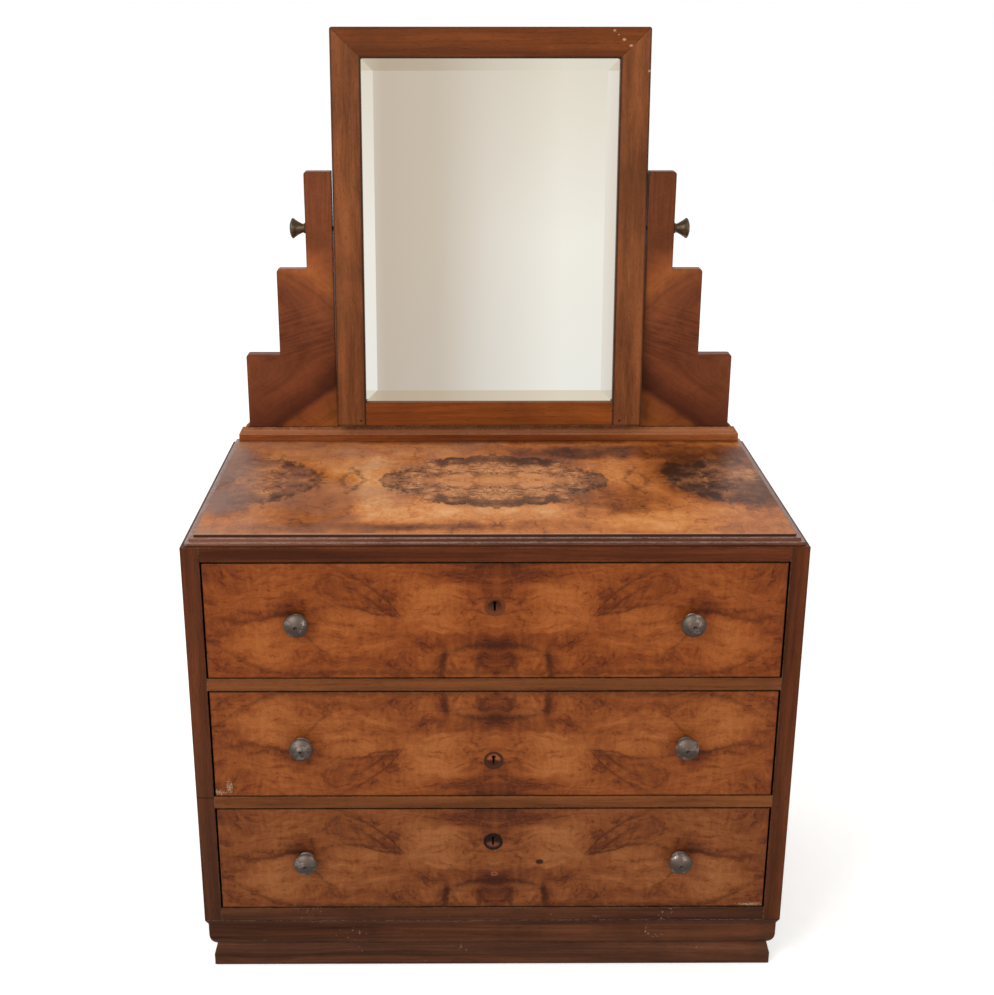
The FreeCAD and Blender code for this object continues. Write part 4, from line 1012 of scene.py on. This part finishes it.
def spin(mesh, profile, foot, axis):
    """Spins a profile, in mm from the foot, about an axis from the foot and adds it to mesh."""
    turn = Vector((0, 0, 1)).rotation_difference(Vector(axis)).to_matrix()
    rings = [[mesh.verts.new(Vector(foot) + turn @ Vector((
        radius * MM * math.cos(math.tau * i / TURNS),
        radius * MM * math.sin(math.tau * i / TURNS), along * MM)))
        for i in range(TURNS if radius else 1)] for along, radius in profile]
    for lower, upper in zip(rings, rings[1:]):
        for i in range(TURNS):
            j = (i + 1) % TURNS
            corners = [lower[i % len(lower)], lower[j % len(lower)],
                       upper[j % len(upper)], upper[i % len(upper)]]
            mesh.faces.new(list(dict.fromkeys(corners))).smooth = True


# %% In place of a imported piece
def add_piece(name, mesh, material, body, replaced):
    """Turns a bmesh into a piece that rides on a body in place of a CAD node."""
    bmesh.ops.recalc_face_normals(mesh, faces=mesh.faces)
    data = bpy.data.meshes.new(name)
    mesh.to_mesh(data)
    mesh.free()
    data.materials.append(material)
    piece = bpy.data.objects.new(name, data)
    bpy.context.scene.collection.objects.link(piece)
    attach(piece, body)
    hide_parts(replaced)
    print(name, "has", len(data.polygons), "faces and rides on", body)


# %% Knobs
knob_line = smooth_profile([
    (0.0, 12.9), (1.4, 12.9), (2.2, 11.6), (3.4, 10.0), (5.2, 9.4), (7.6, 9.9), (10.4, 12.6),
    (13.0, 16.2), (15.2, 18.1), (16.4, 18.45), (17.6, 18.1), (19.6, 16.9), (22.0, 14.2),
    (24.2, 10.4), (25.8, 6.2), (26.6, 3.2)])
dimple = [(26.7, 2.9), (26.0, 2.5), (24.2, 2.1), (23.6, 0.0)]
for drawer in DRAWERS:
    low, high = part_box(drawer + "_knobs")
    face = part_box(drawer + "_front")[0].y
    radius = (high.z - low.z) / 2
    pair = bmesh.new()
    for side in (low.x + radius, high.x - radius):
        spin(pair, [(0.0, 0.0)] + knob_line + dimple, (side, face, low.z + radius), (0, -1, 0))
    add_piece(drawer + "_turned_knobs", pair, knob_brass, drawer, drawer + "_knobs")

# %% Thumb screws
screw_line = smooth_profile([
    (0.0, 8.6), (1.0, 8.9), (2.2, 8.9), (3.4, 7.9), (5.0, 7.7), (6.6, 8.1), (9.0, 9.4),
    (12.5, 11.3), (16.0, 13.5), (19.0, 15.8), (20.8, 17.1), (22.0, 17.2), (23.0, 16.6),
    (24.6, 14.4), (26.4, 9.4), (27.2, 4.4)])
HEAD, SHANK, SHANK_RADIUS = 27.5, 54.0, 3.9  # from the board outwards and inwards, in mm
for name, way in (("thumb_screw_left", -1), ("thumb_screw_right", 1)):
    low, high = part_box(name)
    tip = low.x if way < 0 else high.x
    shoulder = (tip - way * HEAD * MM, (low.y + high.y) / 2, (low.z + high.z) / 2)
    turned = bmesh.new()
    for profile in ([(0.0, 0.0)] + screw_line + [(27.4, 0.0)],
                    [(0.0, 0.0), (0.0, SHANK_RADIUS), (-SHANK, SHANK_RADIUS), (-SHANK, 0.0)]):
        spin(turned, profile, shoulder, (way, 0, 0))
    add_piece(name + "_turned", turned, screw_brass, name, name)

# %% [markdown]
# ## Keyhole discs
# Each keyhole sits in a small dished disc let into the front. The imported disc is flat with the
# hole cut through. The dish is a surface that runs from the keyhole's outline to the round rim, so
# it is laid out as loops: every point of the hole's outline is joined to the point of the rim in
# the same direction, and the loops between sink as a dish does. A loop straight behind each end
# gives the thickness that one sees in the hole.

# %% The keyhole's outline
HEAD_RADIUS, HEAD_UP = 3.3, 4.4    # the keyhole's round head, and how high it sits, in mm
SLOT_HALF, SLOT_FOOT = 1.75, 12.2  # the slot under it: half its width, and how far it runs down


def keyhole_reach(angle):
    """How far the keyhole's outline is from its head's centre in one direction, in mm."""
    sideways, down = abs(math.cos(angle)), -math.sin(angle)
    if down <= 0:
        return HEAD_RADIUS
    to_side = SLOT_HALF / sideways if sideways > 1e-6 else math.inf
    return max(HEAD_RADIUS, min(to_side, SLOT_FOOT / down))


print("the slot ends", keyhole_reach(-math.pi / 2), "mm under the keyhole's head")

# %% A dished disc
THICK, COUNT = 3.8, 72  # the disc's thickness in mm, and its points round
RIM_DOWN, BOWL, HOLE_DOWN = 0.12, 2.1, 0.35  # how far rim, bowl and hole lie back, in mm
# each loop's share of the way from hole to rim; the first and last lie inside, for the thickness
SHARES = (0.0, 0.0, 0.06, 0.2, 0.36, 0.52, 0.68, 0.82, 0.93, 1.0, 1.0)
print("a disc has", len(SHARES), "loops of", COUNT, "points")


def dished_disc(name, drawer, material):
    low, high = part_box(drawer + "_escutcheon")
    centre = (low + high) / 2
    rim = (high.x - low.x) / 2 / MM
    mesh = bmesh.new()
    loops = []
    for number, share in enumerate(SHARES):
        inside = number in (0, len(SHARES) - 1)
        loop = []
        for i in range(COUNT):
            angle = math.tau * (i + 0.5) / COUNT
            hole = keyhole_reach(angle)
            hx, hz = hole * math.cos(angle), HEAD_UP + hole * math.sin(angle)
            px = hx + (rim * math.cos(angle) - hx) * share
            pz = hz + (rim * math.sin(angle) - hz) * share
            from_middle = min(1.0, math.hypot(px, pz) / rim)
            bowl = max(0.0, 1 - (from_middle / 0.9) ** 2)
            sink = RIM_DOWN + BOWL * bowl ** 0.8 + (0.0 if share else HOLE_DOWN)
            loop.append(mesh.verts.new((centre.x + px * MM,
                                        low.y + (THICK if inside else sink) * MM,
                                        centre.z + pz * MM)))
        loops.append(loop)
    for inner, outer in zip(loops, loops[1:]):
        for i in range(COUNT):
            j = (i + 1) % COUNT
            face = mesh.faces.new((inner[i], inner[j], outer[j], outer[i]))
            face.smooth = inner is not loops[0] and outer is not loops[-1]
    add_piece(name, mesh, material, drawer, drawer + "_escutcheon")


# %% Wood of the discs
def disc_wood_with_painted_light(name, dark, light, ring, split, height):
    """Dark polished disc, painted light on one side of split and dark on the other, for the light
    and shade of its dish.
    """
    material, graph, at, x, y, z = finish(name)
    patch = drift(x * 120, y, z * 120 + 3.0, 3.0, 0.6)
    # One side light, the other dark: painted light and shade of the dish.
    share = (z - height + patch * 0.008).step(*split)
    from_middle = (x * x + (z - height) * (z - height)) ** 0.5
    ringed = (from_middle + patch * 0.006).step(0.0075, 0.0125)
    speck = noise(at, 800.0, 3.0, 0.6)
    edge, rounded = graph.arris(0.0006)
    graph.surface({
        "Base Color": graph.mix(share, paint(*dark), paint(*light)).stained(ringed, *ring).stained(
            speck.step(0.55, 0.7) * 0.4, *(c * 0.6 for c in dark)).stained(
            edge.step(0.04, 0.2) * 0.15, 120, 84, 62),
        "Roughness": 0.4 + speck * 0.2, "Specular IOR Level": 0.12,
        "Normal": graph.bump(speck, 0.25, 0.0003, Normal=rounded)})
    return material


for drawer, *look in (
        ("top_drawer", (64, 29, 15), (96, 50, 30), (104, 52, 27), (0.004, -0.010)),
        ("middle_drawer", (60, 30, 18), (146, 82, 52), (70, 36, 22), (-0.002, 0.003)),
        ("bottom_drawer", (42, 22, 16), (108, 64, 44), (38, 21, 16), (0.0, -0.006))):
    wood = disc_wood_with_painted_light(drawer + "_disc_wood", *look, middle_of_piece(drawer + "_escutcheon").z)
    dished_disc(drawer + "_keyhole_disc", drawer, wood)
